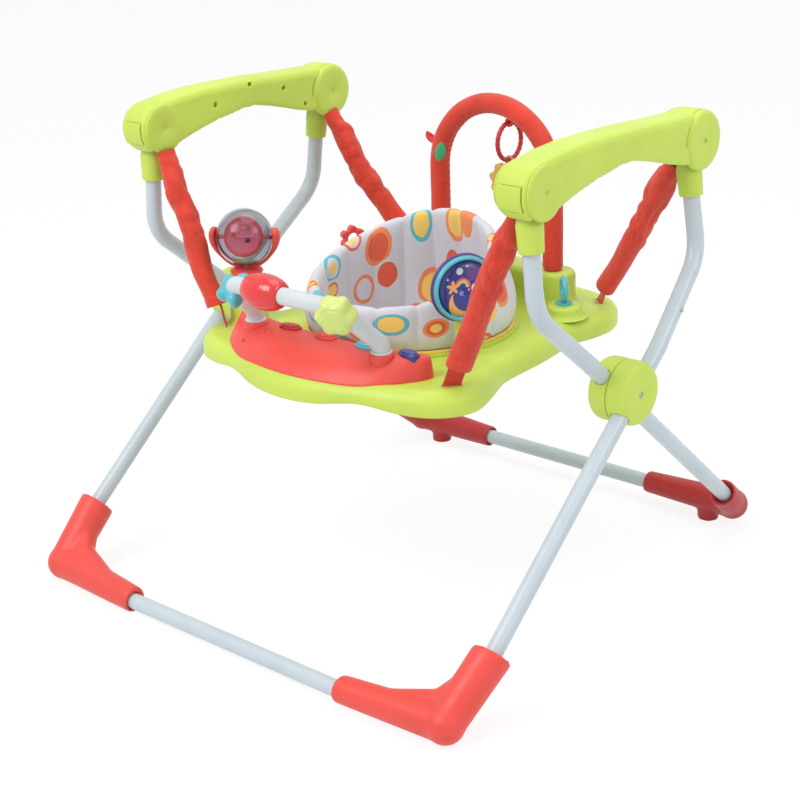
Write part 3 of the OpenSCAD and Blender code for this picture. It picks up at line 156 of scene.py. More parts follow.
def moulded(name, colour, rough=0.42, grain=0.00012, round_edge=0.0, coat=0.0, glow=0.0):
    """Moulded plastic: faint flow marks, a fine grain, softened edges with a painted highlight that lightens the colour
    along them, and with glow a painted glow in its own colour.
    """
    p = Paint(name)
    flow = p.noise(9.0, 3.0)
    colour_out = p.mix(p.span(flow, 0.0, 1.0), shade(colour, 0.93), shade(colour, 1.04))
    normal = None
    if round_edge:
        soft = p.node("Bevel", {"Radius": round_edge}, samples=4).outputs[0]
        true = p.node("NewGeometry").outputs["Normal"]
        dot = p.node("VectorMath", {0: soft, 1: true}, operation="DOT_PRODUCT").outputs["Value"]
        # Painted highlight: where the softened normal turns away from the true one, the colour is lightened along the
        # edge.
        edge = p.span(dot, 0.35, 0.0, 0.80, 0.99)
        colour_out = p.mix(edge, colour_out, shade(colour, 1.18))
        normal = soft
    p.set(Base_Color=colour_out, Roughness=p.span(p.noise(38.0, 4.0), rough - 0.05, rough + 0.07),
          Normal=p.bump(p.noise(1500.0, 2.0), grain, 0.6, normal), Coat_Weight=coat)
    # Painted glow: the colour is also given off as light, so the part shines though it is no lamp.
    if glow:
        p.set(Emission_Color=colour_out, Emission_Strength=glow)
    return p.material


def painted(name, colour):
    """Powder paint on tube: orange peel and a soft coat."""
    p = Paint(name)
    body = p.mix(p.span(p.noise(14.0, 3.0), 0.0, 1.0), shade(colour, 0.95), shade(colour, 1.03))
    scuff = p.span(p.noise(90.0, 6.0), 0.0, 0.35, 0.62, 0.72)
    p.set(Base_Color=p.mix(scuff, body, shade(colour, 0.88)), Roughness=p.span(p.noise(60.0, 4.0), 0.27, 0.4),
          Normal=p.bump(p.noise(420.0, 2.0), 0.00018, 0.5), Coat_Weight=0.25, Coat_Roughness=0.18)
    return p.material


def plated(name, colour):
    """Zinc plated steel."""
    p = Paint(name)
    p.set(Base_Color=p.mix(p.span(p.noise(55.0, 4.0), 0.0, 1.0), shade(colour, 0.82), shade(colour, 1.05)),
          Metallic=1.0, Roughness=p.span(p.noise(240.0, 4.0), 0.24, 0.42),
          Normal=p.bump(p.noise(900.0, 3.0), 0.0001, 0.5))
    return p.material


def weave_height(p, pitch):
    """Plain weave from two crossed sets of threads, on the UV map in metres."""
    scale = 2 * math.pi / (20 * pitch)
    threads = [p.node("TexWave", {"Vector": p.coords.outputs["UV"], "Scale": scale, "Distortion": 0.4,
                                  "Detail": 1.0, "Detail Scale": 2.0}, bands_direction=axis).outputs["Fac"]
               for axis in ("X", "Y")]
    return p.math("ADD", threads[0], threads[1])


def woven(name, colour, pitch=0.0011, stitch=None):
    """Woven cloth: threads, slight fading, crumples and a soft sheen."""
    p = Paint(name)
    weave = weave_height(p, pitch)
    body = p.mix(p.span(p.noise(28.0, 4.0), 0.0, 1.0), shade(colour, 0.84), shade(colour, 1.07))
    body = p.mix(p.span(weave, 0.22, 0.0, 0.2, 1.5), body, shade(colour, 0.6))
    if stitch:
        uv = p.node("SeparateXYZ", {0: p.coords.outputs["UV"]}).outputs
        for at in stitch:
            near = p.math("COMPARE", uv[1], at, 0.00045)
            dash = p.math("LESS_THAN", p.math("FRACT", p.math("MULTIPLY", uv[0], 260.0)), 0.68)
            body = p.mix(p.math("MULTIPLY", near, dash), body, shade(colour, 1.35))
    crumple = p.bump(p.noise(170.0, 5.0), 0.0009, 0.55)
    p.set(Base_Color=body, Roughness=p.span(p.noise(45.0, 3.0), 0.78, 0.93),
          Normal=p.bump(weave, 0.00022, 0.6, crumple), Sheen_Weight=0.25, Sheen_Roughness=0.45)
    return p.material


def clear(name):
    """Thin clear moulding with a smoky tint."""
    p = Paint(name)
    p.set(Base_Color=p.mix(p.span(p.noise(20.0, 2.0), 0.0, 1.0), tint(190, 190, 198), tint(206, 207, 213)),
          Roughness=p.span(p.noise(60.0, 3.0), 0.02, 0.06), Transmission_Weight=1.0, IOR=1.32,
          Normal=p.bump(p.noise(40.0, 2.0), 0.0002, 0.2))
    return p.material


def printed_cloth(name, seam_pitch):
    """White quilted cloth printed with dots and rings; the UV map is in metres."""
    p = Paint(name)
    uv = p.coords.outputs["UV"]
    cells = p.node("TexVoronoi", {"Vector": uv, "Scale": 16.0, "Randomness": 0.6}, voronoi_dimensions="2D")
    rgb = p.node("SeparateColor", {0: cells.outputs["Color"]}).outputs
    reach = p.span(rgb[1], 0.22, 0.43, 0.0, 1.0)
    wobble = p.math("MULTIPLY", p.math("SUBTRACT", p.noise(45.0, 2.0), 0.5), 0.07)
    far = p.math("ADD", cells.outputs["Distance"], wobble)
    ground = tint(212, 214, 223)
    picks = p.ramp(rgb[0], [(0.0, ORANGE), (0.24, TEAL), (0.44, DOT_RED), (0.62, YELLOW), (0.8, ORANGE)])
    inner = p.ramp(rgb[2], [(0.0, ground), (0.35, YELLOW), (0.62, DOT_RED), (0.8, ground)])
    colour = p.mix(p.math("LESS_THAN", far, reach), ground, picks)
    ringed = p.math("GREATER_THAN", rgb[2], 0.30)
    hole = p.math("LESS_THAN", far, p.math("MULTIPLY", reach, 0.74))
    colour = p.mix(p.math("MULTIPLY", hole, ringed), colour, inner)
    core = p.math("LESS_THAN", far, p.math("MULTIPLY", reach, 0.42))
    cored = p.math("GREATER_THAN", rgb[2], 0.7)
    colour = p.mix(p.math("MULTIPLY", core, cored), colour, YELLOW)
    axis = p.node("SeparateXYZ", {0: uv}).outputs
    # The quilting seams are darkened: painted shade in their creases.
    lane = p.math("ABSOLUTE", p.math("SUBTRACT", p.math("FRACT", p.math("DIVIDE", axis[0], seam_pitch)), 0.5))
    seam = p.span(lane, 0.0, 0.4, 0.475, 0.5)
    colour = p.mix(seam, colour, tint(196, 196, 202))
    weave = weave_height(p, 0.0012)
    colour = p.mix(p.span(weave, 0.1, 0.0, 0.2, 1.5), colour, tint(205, 206, 212))
    crumple = p.bump(p.noise(95.0, 4.0), 0.0012, 0.45)
    p.set(Base_Color=colour, Roughness=p.span(p.noise(45.0, 3.0), 0.74, 0.9),
          Normal=p.bump(weave, 0.0002, 0.5, crumple), Sheen_Weight=0.2, Sheen_Roughness=0.5)
    return p.material


def disc_face(name, centre, axis_x, axis_z):
    """Dark face with round dots, arcs and a lighter lower part, drawn in the disc's plane."""
    p = Paint(name)
    where = p.node("VectorMath", {0: p.coords.outputs["Object"], 1: tuple(centre)}, operation="SUBTRACT").outputs[0]
    u, v = [p.node("VectorMath", {0: where, 1: tuple(axis)}, operation="DOT_PRODUCT").outputs["Value"]
            for axis in (axis_x, axis_z)]

    def reach(x, y):
        dx, dy = p.math("SUBTRACT", u, x), p.math("SUBTRACT", v, y)
        far = p.math("SQRT", p.math("ADD", p.math("MULTIPLY", dx, dx), p.math("MULTIPLY", dy, dy)))
        return far, dx, dy

    def spot(x, y, r, colour, under):
        return p.mix(p.span(reach(x, y)[0], 1.0, 0.0, r - 0.0004, r + 0.0004), under, colour)

    def star(x, y, r, colour, under):
        far, dx, dy = reach(x, y)
        wave = p.math("COSINE", p.math("MULTIPLY", p.math("ARCTAN2", dx, dy), 5.0))
        edge = p.math("MULTIPLY", p.math("ADD", p.math("MULTIPLY", wave, 0.32), 0.75), r)
        return p.mix(p.math("LESS_THAN", far, edge), under, colour)

    def bow(x, y, bands, under):
        far, dx, dy = reach(x, y)
        above = p.math("GREATER_THAN", p.math("ADD", dy, p.math("MULTIPLY", dx, 0.25)), 0.0)
        for r, colour in bands:
            under = p.mix(p.math("MULTIPLY", p.math("LESS_THAN", far, r), above), under, colour)
        return under
    base = p.mix(p.span(p.noise(30.0, 3.0), 0.0, 1.0), shade(NAVY, 0.85), shade(NAVY, 1.12))
    colour = spot(0.034, 0.026, 0.031, PURPLE, base)
    colour = spot(-0.002, -0.022, 0.024, tint(244, 178, 92), colour)
    colour = spot(0.004, -0.011, 0.0235, base, colour)
    colour = bow(-0.004, 0.004, ((0.0125, tint(232, 96, 84)), (0.0103, ORANGE), (0.0083, YELLOW), (0.0063, TEAL),
                                 (0.0043, base)), colour)
    colour = star(-0.019, 0.004, 0.0098, tint(246, 170, 84), colour)
    for x, y, r, c in ((-0.008, 0.027, 0.0052, WHITE), (0.016, 0.000, 0.0062, tint(236, 226, 232)),
                       (0.006, -0.002, 0.0021, tint(240, 130, 160)), (-0.027, 0.017, 0.0016, WHITE),
                       (0.004, 0.033, 0.0016, WHITE), (0.024, -0.018, 0.0030, tint(240, 130, 160)),
                       (0.028, 0.006, 0.0020, YELLOW)):
        colour = spot(x, y, r, c, colour)
    colour = star(-0.006, -0.006, 0.0046, tint(120, 150, 226), colour)
    p.set(Base_Color=colour, Roughness=p.span(p.noise(60.0, 3.0), 0.22, 0.34),
          Normal=p.bump(p.noise(900.0, 2.0), 0.00008, 0.5), Coat_Weight=0.3)
    return p.material


EDGE = 0.0012
lime = moulded("lime_moulding", LIME, 0.44)
# Lime with a painted highlight along its edges, for the release buttons and the seat ring.
lime_painted_edge_highlight = moulded("lime_moulding_painted_edge_highlight", LIME, 0.44, round_edge=EDGE)
coral = moulded("coral_moulding", CORAL, 0.42)
# A darker copy of the coral moulding: painted shade for the rear feet.
coral_painted_shade = moulded("coral_painted_shade_moulding", tint(180, 38, 38), 0.42)
pale_lime = moulded("pale_lime_moulding", tint(212, 230, 128), 0.36, coat=0.2)
# Pink and red with a painted glow, for the core, rim and bead inside the clear globe.
pink_painted_glow = moulded("pink_moulding", tint(226, 112, 132), 0.3, coat=0.2, glow=0.32)
rim_red_painted_glow = moulded("rim_red_painted_glow", tint(230, 66, 70), 0.3, coat=0.2, glow=0.3)
red_gloss = moulded("red_gloss", RED, 0.2, 0.00005, coat=0.4)
white = moulded("white_moulding", WHITE, 0.36)
teal = moulded("teal_moulding", TEAL, 0.3, 0.00006, coat=0.2)
navy = moulded("navy_moulding", NAVY, 0.3, 0.00006, coat=0.2)
purple = moulded("purple_moulding", PURPLE, 0.34)
tan = moulded("tan_moulding", TAN, 0.5)
dark_red = moulded("dark_red_moulding", shade(RED, 0.72), 0.34)
# Near-black painted shade, given to the cutters of the tray's slots and the rails' slits.
dark = moulded("recess_painted_shade", tint(60, 40, 38), 0.6)
paint = painted("frame_paint", PAINT)
steel = plated("zinc_steel", STEEL)
cloth = woven("coral_cloth", CLOTH, stitch=[0.0145])
webbing = woven("coral_webbing", shade(CLOTH, 0.92), 0.0016)
binding = woven("yellow_binding", YELLOW, 0.0012)
leaf_green = woven("green_patch", tint(70, 178, 120), 0.0012)
glass = clear("clear_moulding")


# Mesh helpers

def make(name, verts, faces, material, smooth=True):
    mesh = bpy.data.meshes.new(name)
    mesh.from_pydata([tuple(v) for v in verts], [], [tuple(f) for f in faces])
    mesh.validate()
    if smooth:
        mesh.shade_smooth()
    made = bpy.data.objects.new(name, mesh)
    bpy.context.scene.collection.objects.link(made)
    mesh.materials.append(material)
    return made


def skin(name, rings, material, ends=(True, True), uv=None, wrap=True):
    """Joins rings of equally many points; uv is (u for each point and the return, v for each ring)."""
    rows, count = len(rings), len(rings[0])
    verts = [p for ring in rings for p in ring]
    faces, corners = [], []
    for i in range(rows - 1):
        for j in range(count if wrap else count - 1):
            k = (j + 1) % count
            faces.append((i * count + j, i * count + k, (i + 1) * count + k, (i + 1) * count + j))
            corners.append(((j, i), (j + 1, i), (j + 1, i + 1), (j, i + 1)))
    for end, row in zip(ends, (0, rows - 1)):
        if end:
            centre = len(verts)
            verts.append(np.mean(rings[row], axis=0))
            for j in range(count):
                k = (j + 1) % count
                pair = (row * count + k, row * count + j) if row == 0 else (row * count + j, row * count + k)
                faces.append((*pair, centre))
                corners.append(((j, row), (j + 1, row), (j, row)))
    made = make(name, verts, faces, material)
    if uv is not None:
        layer = made.data.uv_layers.new(name="UVMap").data
        us, vs = uv
        loop = 0
        for marks in corners:
            for j, i in marks:
                layer[loop].uv = (us[j], vs[i])
                loop += 1
    return made


def around(count):
    """Evenly spaced angles of a full turn."""
    return np.linspace(0, 2 * math.pi, count, endpoint=False)


def quarter(steps):
    """Angles of a quarter turn."""
    return [math.pi / 2 * k / steps for k in range(steps + 1)]


def frames_along(path):
    """Two unit cross directions at each point of a path, carried along it without twist."""
    path = np.asarray(path, float)
    tangents = np.gradient(path, axis=0)
    tangents /= np.linalg.norm(tangents, axis=1)[:, None]
    side = np.cross(tangents[0], [0, 0, 1.0])
    if np.linalg.norm(side) < 0.1:
        side = np.cross(tangents[0], [0, 1.0, 0])
    out = []
    for t in tangents:
        side = side - t * (side @ t)
        side /= np.linalg.norm(side)
        out.append((side.copy(), np.cross(t, side)))
    return out


def sweep(name, path, radius, material, sides=24, ends=(True, True)):
    """A round bar along a path; radius is a number or a function of (share along, angle)."""
    path = np.asarray(path, float)
    angles = around(sides)
    rings = []
    for i, (point, (a, b)) in enumerate(zip(path, frames_along(path))):
        share = i / (len(path) - 1)
        size = [radius(share, t) if callable(radius) else radius for t in angles]
        rings.append([point + r * (math.cos(t) * a + math.sin(t) * b) for r, t in zip(size, angles)])
    steps = np.concatenate([[0], np.cumsum(np.linalg.norm(np.diff(path, axis=0), axis=1))])
    girth = 2 * math.pi * (radius(0.5, 0.0) if callable(radius) else radius)
    uv = ([girth * j / sides for j in range(sides + 1)], steps)
    return skin(name, rings, material, ends, uv)


def lathe(name, profile, origin, axis, material, sides=64):
    """Turns (radius, height) points about an axis; a radius of zero closes an end."""
    axis = Vector(axis).normalized()
    turn = Vector((0, 0, 1)).rotation_difference(axis).to_matrix()
    origin = Vector(origin)
    ends = (profile[0][0] < 1e-6, profile[-1][0] < 1e-6)
    body = [q for q in profile if q[0] >= 1e-6]
    rings = []
    for r, h in body:
        rings.append([np.array(origin + turn @ Vector((r * math.cos(t), r * math.sin(t), h)))
                      for t in around(sides)])
    made = skin(name, rings, material, (False, False))
    if any(ends):
        work = bmesh.new()
        work.from_mesh(made.data)
        work.verts.ensure_lookup_table()
        for end, row, height in zip(ends, (0, len(body) - 1), (profile[0][1], profile[-1][1])):
            if end:
                tip = work.verts.new(origin + turn @ Vector((0, 0, height)))
                work.verts.ensure_lookup_table()
                for j in range(sides):
                    a, b = work.verts[row * sides + j], work.verts[row * sides + (j + 1) % sides]
                    work.faces.new((b, a, tip) if row == 0 else (a, b, tip))
        bmesh.ops.recalc_face_normals(work, faces=work.faces)
        for face in work.faces:
            face.smooth = True
        work.to_mesh(made.data)
        work.free()
    return made


def spline(points, steps, closed=False):
    """Smooth curve through points, with steps intervals between neighbours."""
    p = np.asarray(points, float)
    n = len(p)
    out = []
    for i in range(n if closed else n - 1):
        a = p[i - 1] if (closed or i > 0) else 2 * p[0] - p[1]
        b, c = p[i], p[(i + 1) % n]
        d = p[(i + 2) % n] if (closed or i + 2 < n) else 2 * p[-1] - p[-2]
        for k in range(steps):
            t = k / steps
            out.append((2 * b + (c - a) * t + (2 * a - 5 * b + 4 * c - d) * t * t
                        + (3 * b - a - 3 * c + d) * t ** 3) / 2)
    if not closed:
        out.append(p[-1])
    return np.array(out)


def weld(made, reach=2e-5):
    """Joins points that lie within reach and turns all faces outwards."""
    work = bmesh.new()
    work.from_mesh(made.data)
    if reach:
        bmesh.ops.remove_doubles(work, verts=work.verts, dist=reach)
    bmesh.ops.recalc_face_normals(work, faces=work.faces)
    work.to_mesh(made.data)
    work.free()
    return made


def settle(made):
    """Applies all modifiers to the mesh."""
    view = bpy.context.evaluated_depsgraph_get()
    mesh = bpy.data.meshes.new_from_object(made.evaluated_get(view))
    old = made.data
    made.modifiers.clear()
    made.data = mesh
    bpy.data.meshes.remove(old)
    return made


def thicken(made, thickness, offset):
    """Gives a surface a wall; an offset of -1 puts it inside, 0 on both sides."""
    wall = made.modifiers.new("wall", "SOLIDIFY")
    wall.thickness, wall.offset = thickness, offset
    return settle(made)


def soften(nodes, voxel, rounds, material, name):
    """A moulded copy of CAD nodes: the same form in one piece with its edges rounded off."""
    work = bmesh.new()
    for node in nodes:
        work.from_mesh(NODES[node].data)
    bmesh.ops.remove_doubles(work, verts=work.verts, dist=1e-6)
    mesh = bpy.data.meshes.new(name)
    work.to_mesh(mesh)
    work.free()
    mesh.materials.clear()
    mesh.materials.append(material)
    for face in mesh.polygons:
        face.material_index = 0
    made = bpy.data.objects.new(name, mesh)
    bpy.context.scene.collection.objects.link(made)
    grid = made.modifiers.new("grid", "REMESH")
    grid.mode, grid.voxel_size, grid.use_smooth_shade = "VOXEL", voxel, True
    relax = made.modifiers.new("relax", "SMOOTH")
    relax.factor, relax.iterations = 0.5, rounds
    settle(made)
    made.data.shade_smooth()
    return made


def stand_for(made, body, *nodes, slot=None):
    """The piece rides on a body and replaces CAD nodes; the slot argument is not used."""
    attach(made, body)
    if nodes:
        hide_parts(*nodes)
    return made


def join(name, parts):
    """One object from several meshes, each with its own material."""
    work = bmesh.new()
    mesh = bpy.data.meshes.new(name)
    for part in parts:
        slot = part.data.materials[0]
        if slot.name not in [m.name for m in mesh.materials]:
            mesh.materials.append(slot)
        index = [m.name for m in mesh.materials].index(slot.name)
        first = len(work.faces)
        work.from_mesh(part.data)
        work.faces.ensure_lookup_table()
        for face in work.faces[first:]:
            face.material_index = index
        old = part.data
        bpy.data.objects.remove(part)
        bpy.data.meshes.remove(old)
    work.to_mesh(mesh)
    work.free()
    made = bpy.data.objects.new(name, mesh)
    bpy.context.scene.collection.objects.link(made)
    return made


# Materials of the CAD nodes that stay

def dress(node, finish):
    NODES[node].data.materials.clear()
    NODES[node].data.materials.append(finish)


for name, finish in (("front_leg", paint), ("rear_upper_tube", paint), ("rear_leg", paint), ("front_upper_tube", paint),
                     ("release_button", lime_painted_edge_highlight)):
    for side in SIDES:
        dress(name + "_" + side, finish)
for name, finish in (("front_base_bar", paint), ("rear_base_bar", paint), ("arm_screws", steel),
                     ("arm_pivot_pins", steel), ("hub_bolts", steel), ("snap_buttons", steel),
                     ("toy_bar", white), ("bar_bead", red_gloss), ("globe_shell", glass),
                     ("seat_ring", lime_painted_edge_highlight), ("ring_toy", teal)):
    dress(name, finish)

# Moulded pieces: node, body, voxel size, rounds of smoothing, material and slot

PAIRS = (("front_foot", "front_frame", 0.0022, 26, coral, "coral_moulding"),
         # The rear feet take the painted shade copy of coral.
         ("rear_foot", "rear_frame", 0.0022, 16, coral_painted_shade, "coral_moulding"),
         ("rear_knuckle", "front_frame", 0.0015, 5, lime, "lime_moulding"),
         ("front_knuckle", "rear_frame", 0.0015, 5, lime, "lime_moulding"),
         ("hub_outer_shell", "front_frame", 0.0016, 8, lime, "lime_moulding"),
         ("hub_inner_shell", "rear_frame", 0.0016, 8, lime, "lime_moulding"))
SINGLES = (("disc_stand", "tray", 0.0012, 4, lime, "lime_moulding"),
           ("flower_toy", "tray", 0.0011, 5, coral, "coral_moulding"),
           ("key_red", "key_red", 0.0008, 5, dark_red, "coral_moulding"),
           ("key_coral", "key_coral", 0.0008, 5, coral, "coral_moulding"),
           ("key_teal", "key_teal", 0.0008, 5, teal, "teal_moulding"),
           ("key_navy", "key_navy", 0.0008, 5, navy, "navy_moulding"))
for node, body, voxel, rounds, finish, slot in [(row[0] + "_" + side, *row[1:]) for side in SIDES for row in PAIRS] \
        + list(SINGLES):
    stand_for(soften([node], voxel, rounds, finish, node + "_moulded"), body, node, slot=slot)

# Hanging toy: hooked on the ring and hanging a little askew

toy = soften(["hanging_toy"], 0.0009, 5, tan, "hanging_toy_moulded")
TOY_SLANT = math.radians(12)
hook = Matrix.Translation(place(30, 207, 622.4))
toy.data.transform(hook @ Matrix.Rotation(TOY_SLANT, 4, "Y") @ hook.inverted())
stand_for(toy, "toy", "hanging_toy", slot="tan_moulding")

# Tray: one moulded shell with raised deck, pedestals and slots

TRAY_TOP, TRAY_LOW, TRAY_T = 400.0, 365.0, 4.0
TRAY_HALF_W, TRAY_BACK, SEAT_Y, HOLE_R = 260.0, 318.0, -8.0, 152.0
TRAY_ROUND = 22.0
SKIRT_RISE, SKIRT_X, SKIRT_REACH, SKIRT_FRONT = 9.0, 125.0, 50.0, -150.0
GLOBE_AT = (-222, -142)
TRAY_SHARES = [(0, -.943), (.27, -.913), (.5, -.848), (.71, -.798), (.88, -.742), (.99, -.65), (1.022, -.535),
               (.96, -.37), (.873, -.195), (.846, 0), (.835, .14), (.8, .33), (.785, .456), (.82, .6),
               (.81, .755), (.69, .92), (.45, .99), (.2, 1), (0, 1)]


def both_sides(shares, half_w, depth, y):
    right = [(half_w * a, y + depth * b) for a, b in shares]
    return right + [(-x, v) for x, v in reversed(right[1:-1])]


def inset(curve, by):
    """Moves each point of a closed anticlockwise curve inwards."""
    ahead, behind = np.roll(curve, -1, axis=0), np.roll(curve, 1, axis=0)
    t = ahead - behind
    t /= np.linalg.norm(t, axis=1)[:, None]
    return curve + by * np.stack([-t[:, 1], t[:, 0]], axis=1)


def even(curve, count):
    """The same closed curve with points at even spacing."""
    loop = np.vstack([curve, curve[:1]])
    run = np.concatenate([[0], np.cumsum(np.linalg.norm(np.diff(loop, axis=0), axis=1))])
    at = np.linspace(0, run[-1], count, endpoint=False)
    return np.stack([np.interp(at, run, loop[:, k]) for k in (0, 1)], axis=1)


def at_height(curve, z):
    return [np.array(place(x, y, h)) for (x, y), h in zip(curve, np.broadcast_to(z, len(curve)))]


def tray_outline():
    return even(spline(both_sides(TRAY_SHARES, TRAY_HALF_W, TRAY_BACK, 0), 8, True), 240)


def tray_skirt(outline):
    """Lower edge of the tray's wall, drawn up between its front lobes."""
    x, y = outline[:, 0], outline[:, 1]
    return TRAY_LOW + np.where(y < SKIRT_FRONT, SKIRT_RISE, 0.0) * np.exp(-((np.abs(x) - SKIRT_X) / SKIRT_REACH) ** 2)


def tray_skin(points):
    """Height of the tray's rounded top at points of the plan."""
    gap = np.linalg.norm(points[:, None] - even(tray_outline(), 1200)[None], axis=2).min(axis=1)
    past = np.clip(TRAY_ROUND - gap, 0, TRAY_ROUND)
    return TRAY_TOP - TRAY_ROUND + np.sqrt(TRAY_ROUND ** 2 - past ** 2)


def tray_base():
    outline, round_r = tray_outline(), TRAY_ROUND
    low = tray_skirt(outline)
    rings = [at_height(inset(outline, 0.4), low), at_height(inset(outline, 0.0), low + 1.2)]
    for a in quarter(8):
        rings.append(at_height(inset(outline, round_r * (1 - math.cos(a))),
                               TRAY_TOP - round_r + round_r * math.sin(a)))
    edge = inset(outline, round_r)
    angle = np.arctan2(edge[:, 1] - SEAT_Y, edge[:, 0])
    hole = np.stack([np.cos(angle), np.sin(angle)], axis=1)

    def towards(share, r, z):
        circle = hole * r + [0, SEAT_Y]
        return at_height(edge * (1 - share) + circle * share, z)
    for share in (0.15, 0.4, 0.7, 1.0):
        rings.append(towards(share, HOLE_R + 3, TRAY_TOP))
    for a in (0.4, 0.9, 1.4):
        rings.append(towards(1.0, HOLE_R + 3 - 3 * math.sin(a), TRAY_TOP - 3 + 3 * math.cos(a)))
    rings.append(towards(1.0, HOLE_R, TRAY_TOP - TRAY_T))
    for share in (0.7, 0.3, 0.0):
        rings.append(towards(share, HOLE_R + 1, TRAY_TOP - TRAY_T))
    for a in reversed(quarter(4)):
        rings.append(at_height(inset(outline, TRAY_T + (round_r - TRAY_T) * (1 - math.cos(a))),
                               TRAY_TOP - round_r + (round_r - TRAY_T) * math.sin(a)))
    rings.append(at_height(inset(outline, TRAY_T), low + 1.2))
    rings.append(at_height(inset(outline, TRAY_T - 0.4), low))
    rings.append(rings[0])
    return weld(skin("tray_base", rings, lime, (False, False)))


def raised(name, outline, base_z, height, flare, edge_r, material):
    """A raised part of a moulding: flared foot, upright wall, rounded edge, closed top."""
    rings = []
    for a in quarter(6):
        rings.append(at_height(inset(outline, -flare * (1 - math.sin(a))), base_z + flare * (1 - math.cos(a)) - 0.3))
    for a in quarter(6):
        rings.append(at_height(inset(outline, edge_r * (1 - math.cos(a))),
                               base_z + height - edge_r + edge_r * math.sin(a)))
    return skin(name, rings, material, (False, True))


def stadium(half_w, half_d, y, count=160):
    r = half_d
    points = []
    for cx, start in ((half_w - r, -90), (r - half_w, 90)):
        for k in range(41):
            a = math.radians(start + 180 * k / 40)
            points.append((cx + r * math.cos(a), y + r * math.sin(a)))
    return even(np.array(points), count)


def circle(x, y, r, count=72):
    return np.array([(x + r * math.cos(t), y + r * math.sin(t)) for t in around(count)])


def cut(made, *cutters):
    """Takes closed cutters out of a mesh."""
    for cutter in cutters:
        hole = made.modifiers.new("cut", "BOOLEAN")
        hole.operation, hole.solver, hole.object = "DIFFERENCE", "EXACT", cutter
    settle(made)
    for cutter in cutters:
        mesh = cutter.data
        bpy.data.objects.remove(cutter)
        bpy.data.meshes.remove(mesh)
    return made


def rod(name, a, b, r, material, sides=48):
    """A closed round bar between two points."""
    length = (Vector(b) - Vector(a)).length
    return lathe(name, [(0, 0), (r, 0), (r, length), (0, length)], a, Vector(b) - Vector(a), material, sides)


def fade(t, low, high):
    """Smooth step from 0 at low to 1 at high."""
    t = min(1.0, max(0.0, (t - low) / (high - low)))
    return t * t * (3 - 2 * t)


SLOTS = {"front": (230.0, -184.0, 400.0), "rear": (171.0, 257.0, 400.0)}
SLOT_TURN = {"front": 43.0, "rear": -43.0}
SLOT_HALF_L, SLOT_HALF_W, SLOT_CUT = 0.015, 0.0022, 0.02


def slot_frame(side, end):
    """Middle of a strap slot and its long and short directions."""
    sign = SIDES[side]
    x, y, z = SLOTS[end]
    a = math.radians(SLOT_TURN[end])
    long, short = Vector((sign * math.cos(a), math.sin(a), 0)), Vector((-sign * math.sin(a), math.cos(a), 0))
    return place(sign * x, y, z), long, short


def slot_cutter(side, end):
    middle, long, short = slot_frame(side, end)
    corners = [long * SLOT_HALF_L * a + short * SLOT_HALF_W * b for a, b in ((-1, -1), (1, -1), (1, 1), (-1, 1))]
    rings = [[np.array(middle + c + Vector((0, 0, h))) for c in corners] for h in (-SLOT_CUT, SLOT_CUT)]
    return skin("slot_cutter", rings, dark)


parts = [cut(tray_base(), *[slot_cutter(side, end) for side in SIDES for end in SLOTS]),
         raised("deck", stadium(148, 30, 214), TRAY_TOP, 55, 16, 9, lime),
         raised("ring_boss", circle(168, 165, 28), TRAY_TOP, 18, 10, 6, lime)]
pedestal = []
for a in quarter(8):
    pedestal.append(at_height(circle(*GLOBE_AT, 30 + 10 * (1 - math.sin(a))), TRAY_TOP + 10 * (1 - math.cos(a)) - 0.3))
for a in quarter(6):
    pedestal.append(at_height(circle(*GLOBE_AT, 25 - 5 * (1 - math.cos(a))), TRAY_TOP + 73 + 5 * math.sin(a)))
parts.append(skin("pedestal", pedestal, lime, (False, True)))
stand_for(join("tray_moulding", parts), "tray", "tray", slot="lime_moulding")

# Hand rails: both halves in one moulding, a drum at the rear pivot and a low disc at the front one

RAIL_X, RAIL_HALF_W, PIN_Y, PIN_Z = 368.0, 31.0, 188.0, 700.0
STATION, FIRST, STATIONS = 6, -240, 80
CROWN, CROWN_REACH, SAG, SAG_Y, SAG_REACH = 0.17, 26.0, 8.0, -55, 75
DRUM = [(3.4, 391), (3.4, 401.2), (4.4, 402), (33, 402), (38.5, 401.4), (42, 399.2), (44, 395.5), (44, 391), (3.4, 391)]
DISC = [(3.4, 396), (3.4, 399.5), (4.2, 400.1), (29, 400.1), (34.5, 399.7), (38, 398.4), (38, 396), (3.4, 396)]
DRUM_R = 43.7


def crown(gap):
    """How far a rail's left edge is drawn in, by the distance from its left face."""
    return CROWN * np.clip(1 - gap / CROWN_REACH, 0, 1) ** 2


def shape_rail(made, sign):
    """Rounds a rail's left edge over and fills its underside ahead of the middle."""
    points = np.array([v.co for v in made.data.vertices]) * 1000 - [0, HUB_Y * 1000, 0]
    x, y, z = points.T
    cells = np.clip(((y - FIRST) / STATION).astype(int), 0, STATIONS - 1)
    stations = [k for k in range(STATIONS) if (cells == k).any()]
    high = np.array([z[cells == k].max() for k in stations])
    low = np.array([z[cells == k].min() for k in stations])
    at = (np.array(stations) + 0.5) * STATION + FIRST
    mid = np.interp(y, at, (high + low) / 2)
    half = np.interp(y, at, (high - low) / 2)
    past = np.clip(np.abs(y) - PIN_Y, 0, None)
    mid += (PIN_Z - mid) * np.clip(past / 8, 0, 1)
    keep = 1 - crown(x - (sign * RAIL_X - RAIL_HALF_W))
    z = mid + (z - mid) * keep - SAG * np.exp(-((y - SAG_Y) / SAG_REACH) ** 2) * np.clip((mid - z) / half, 0, 1)
    y = np.where(past > 0, np.sign(y) * (PIN_Y + past * keep), y)
    for vert, a, b, c in zip(made.data.vertices, x, y, z):
        vert.co = place(a, b, c)
    return made


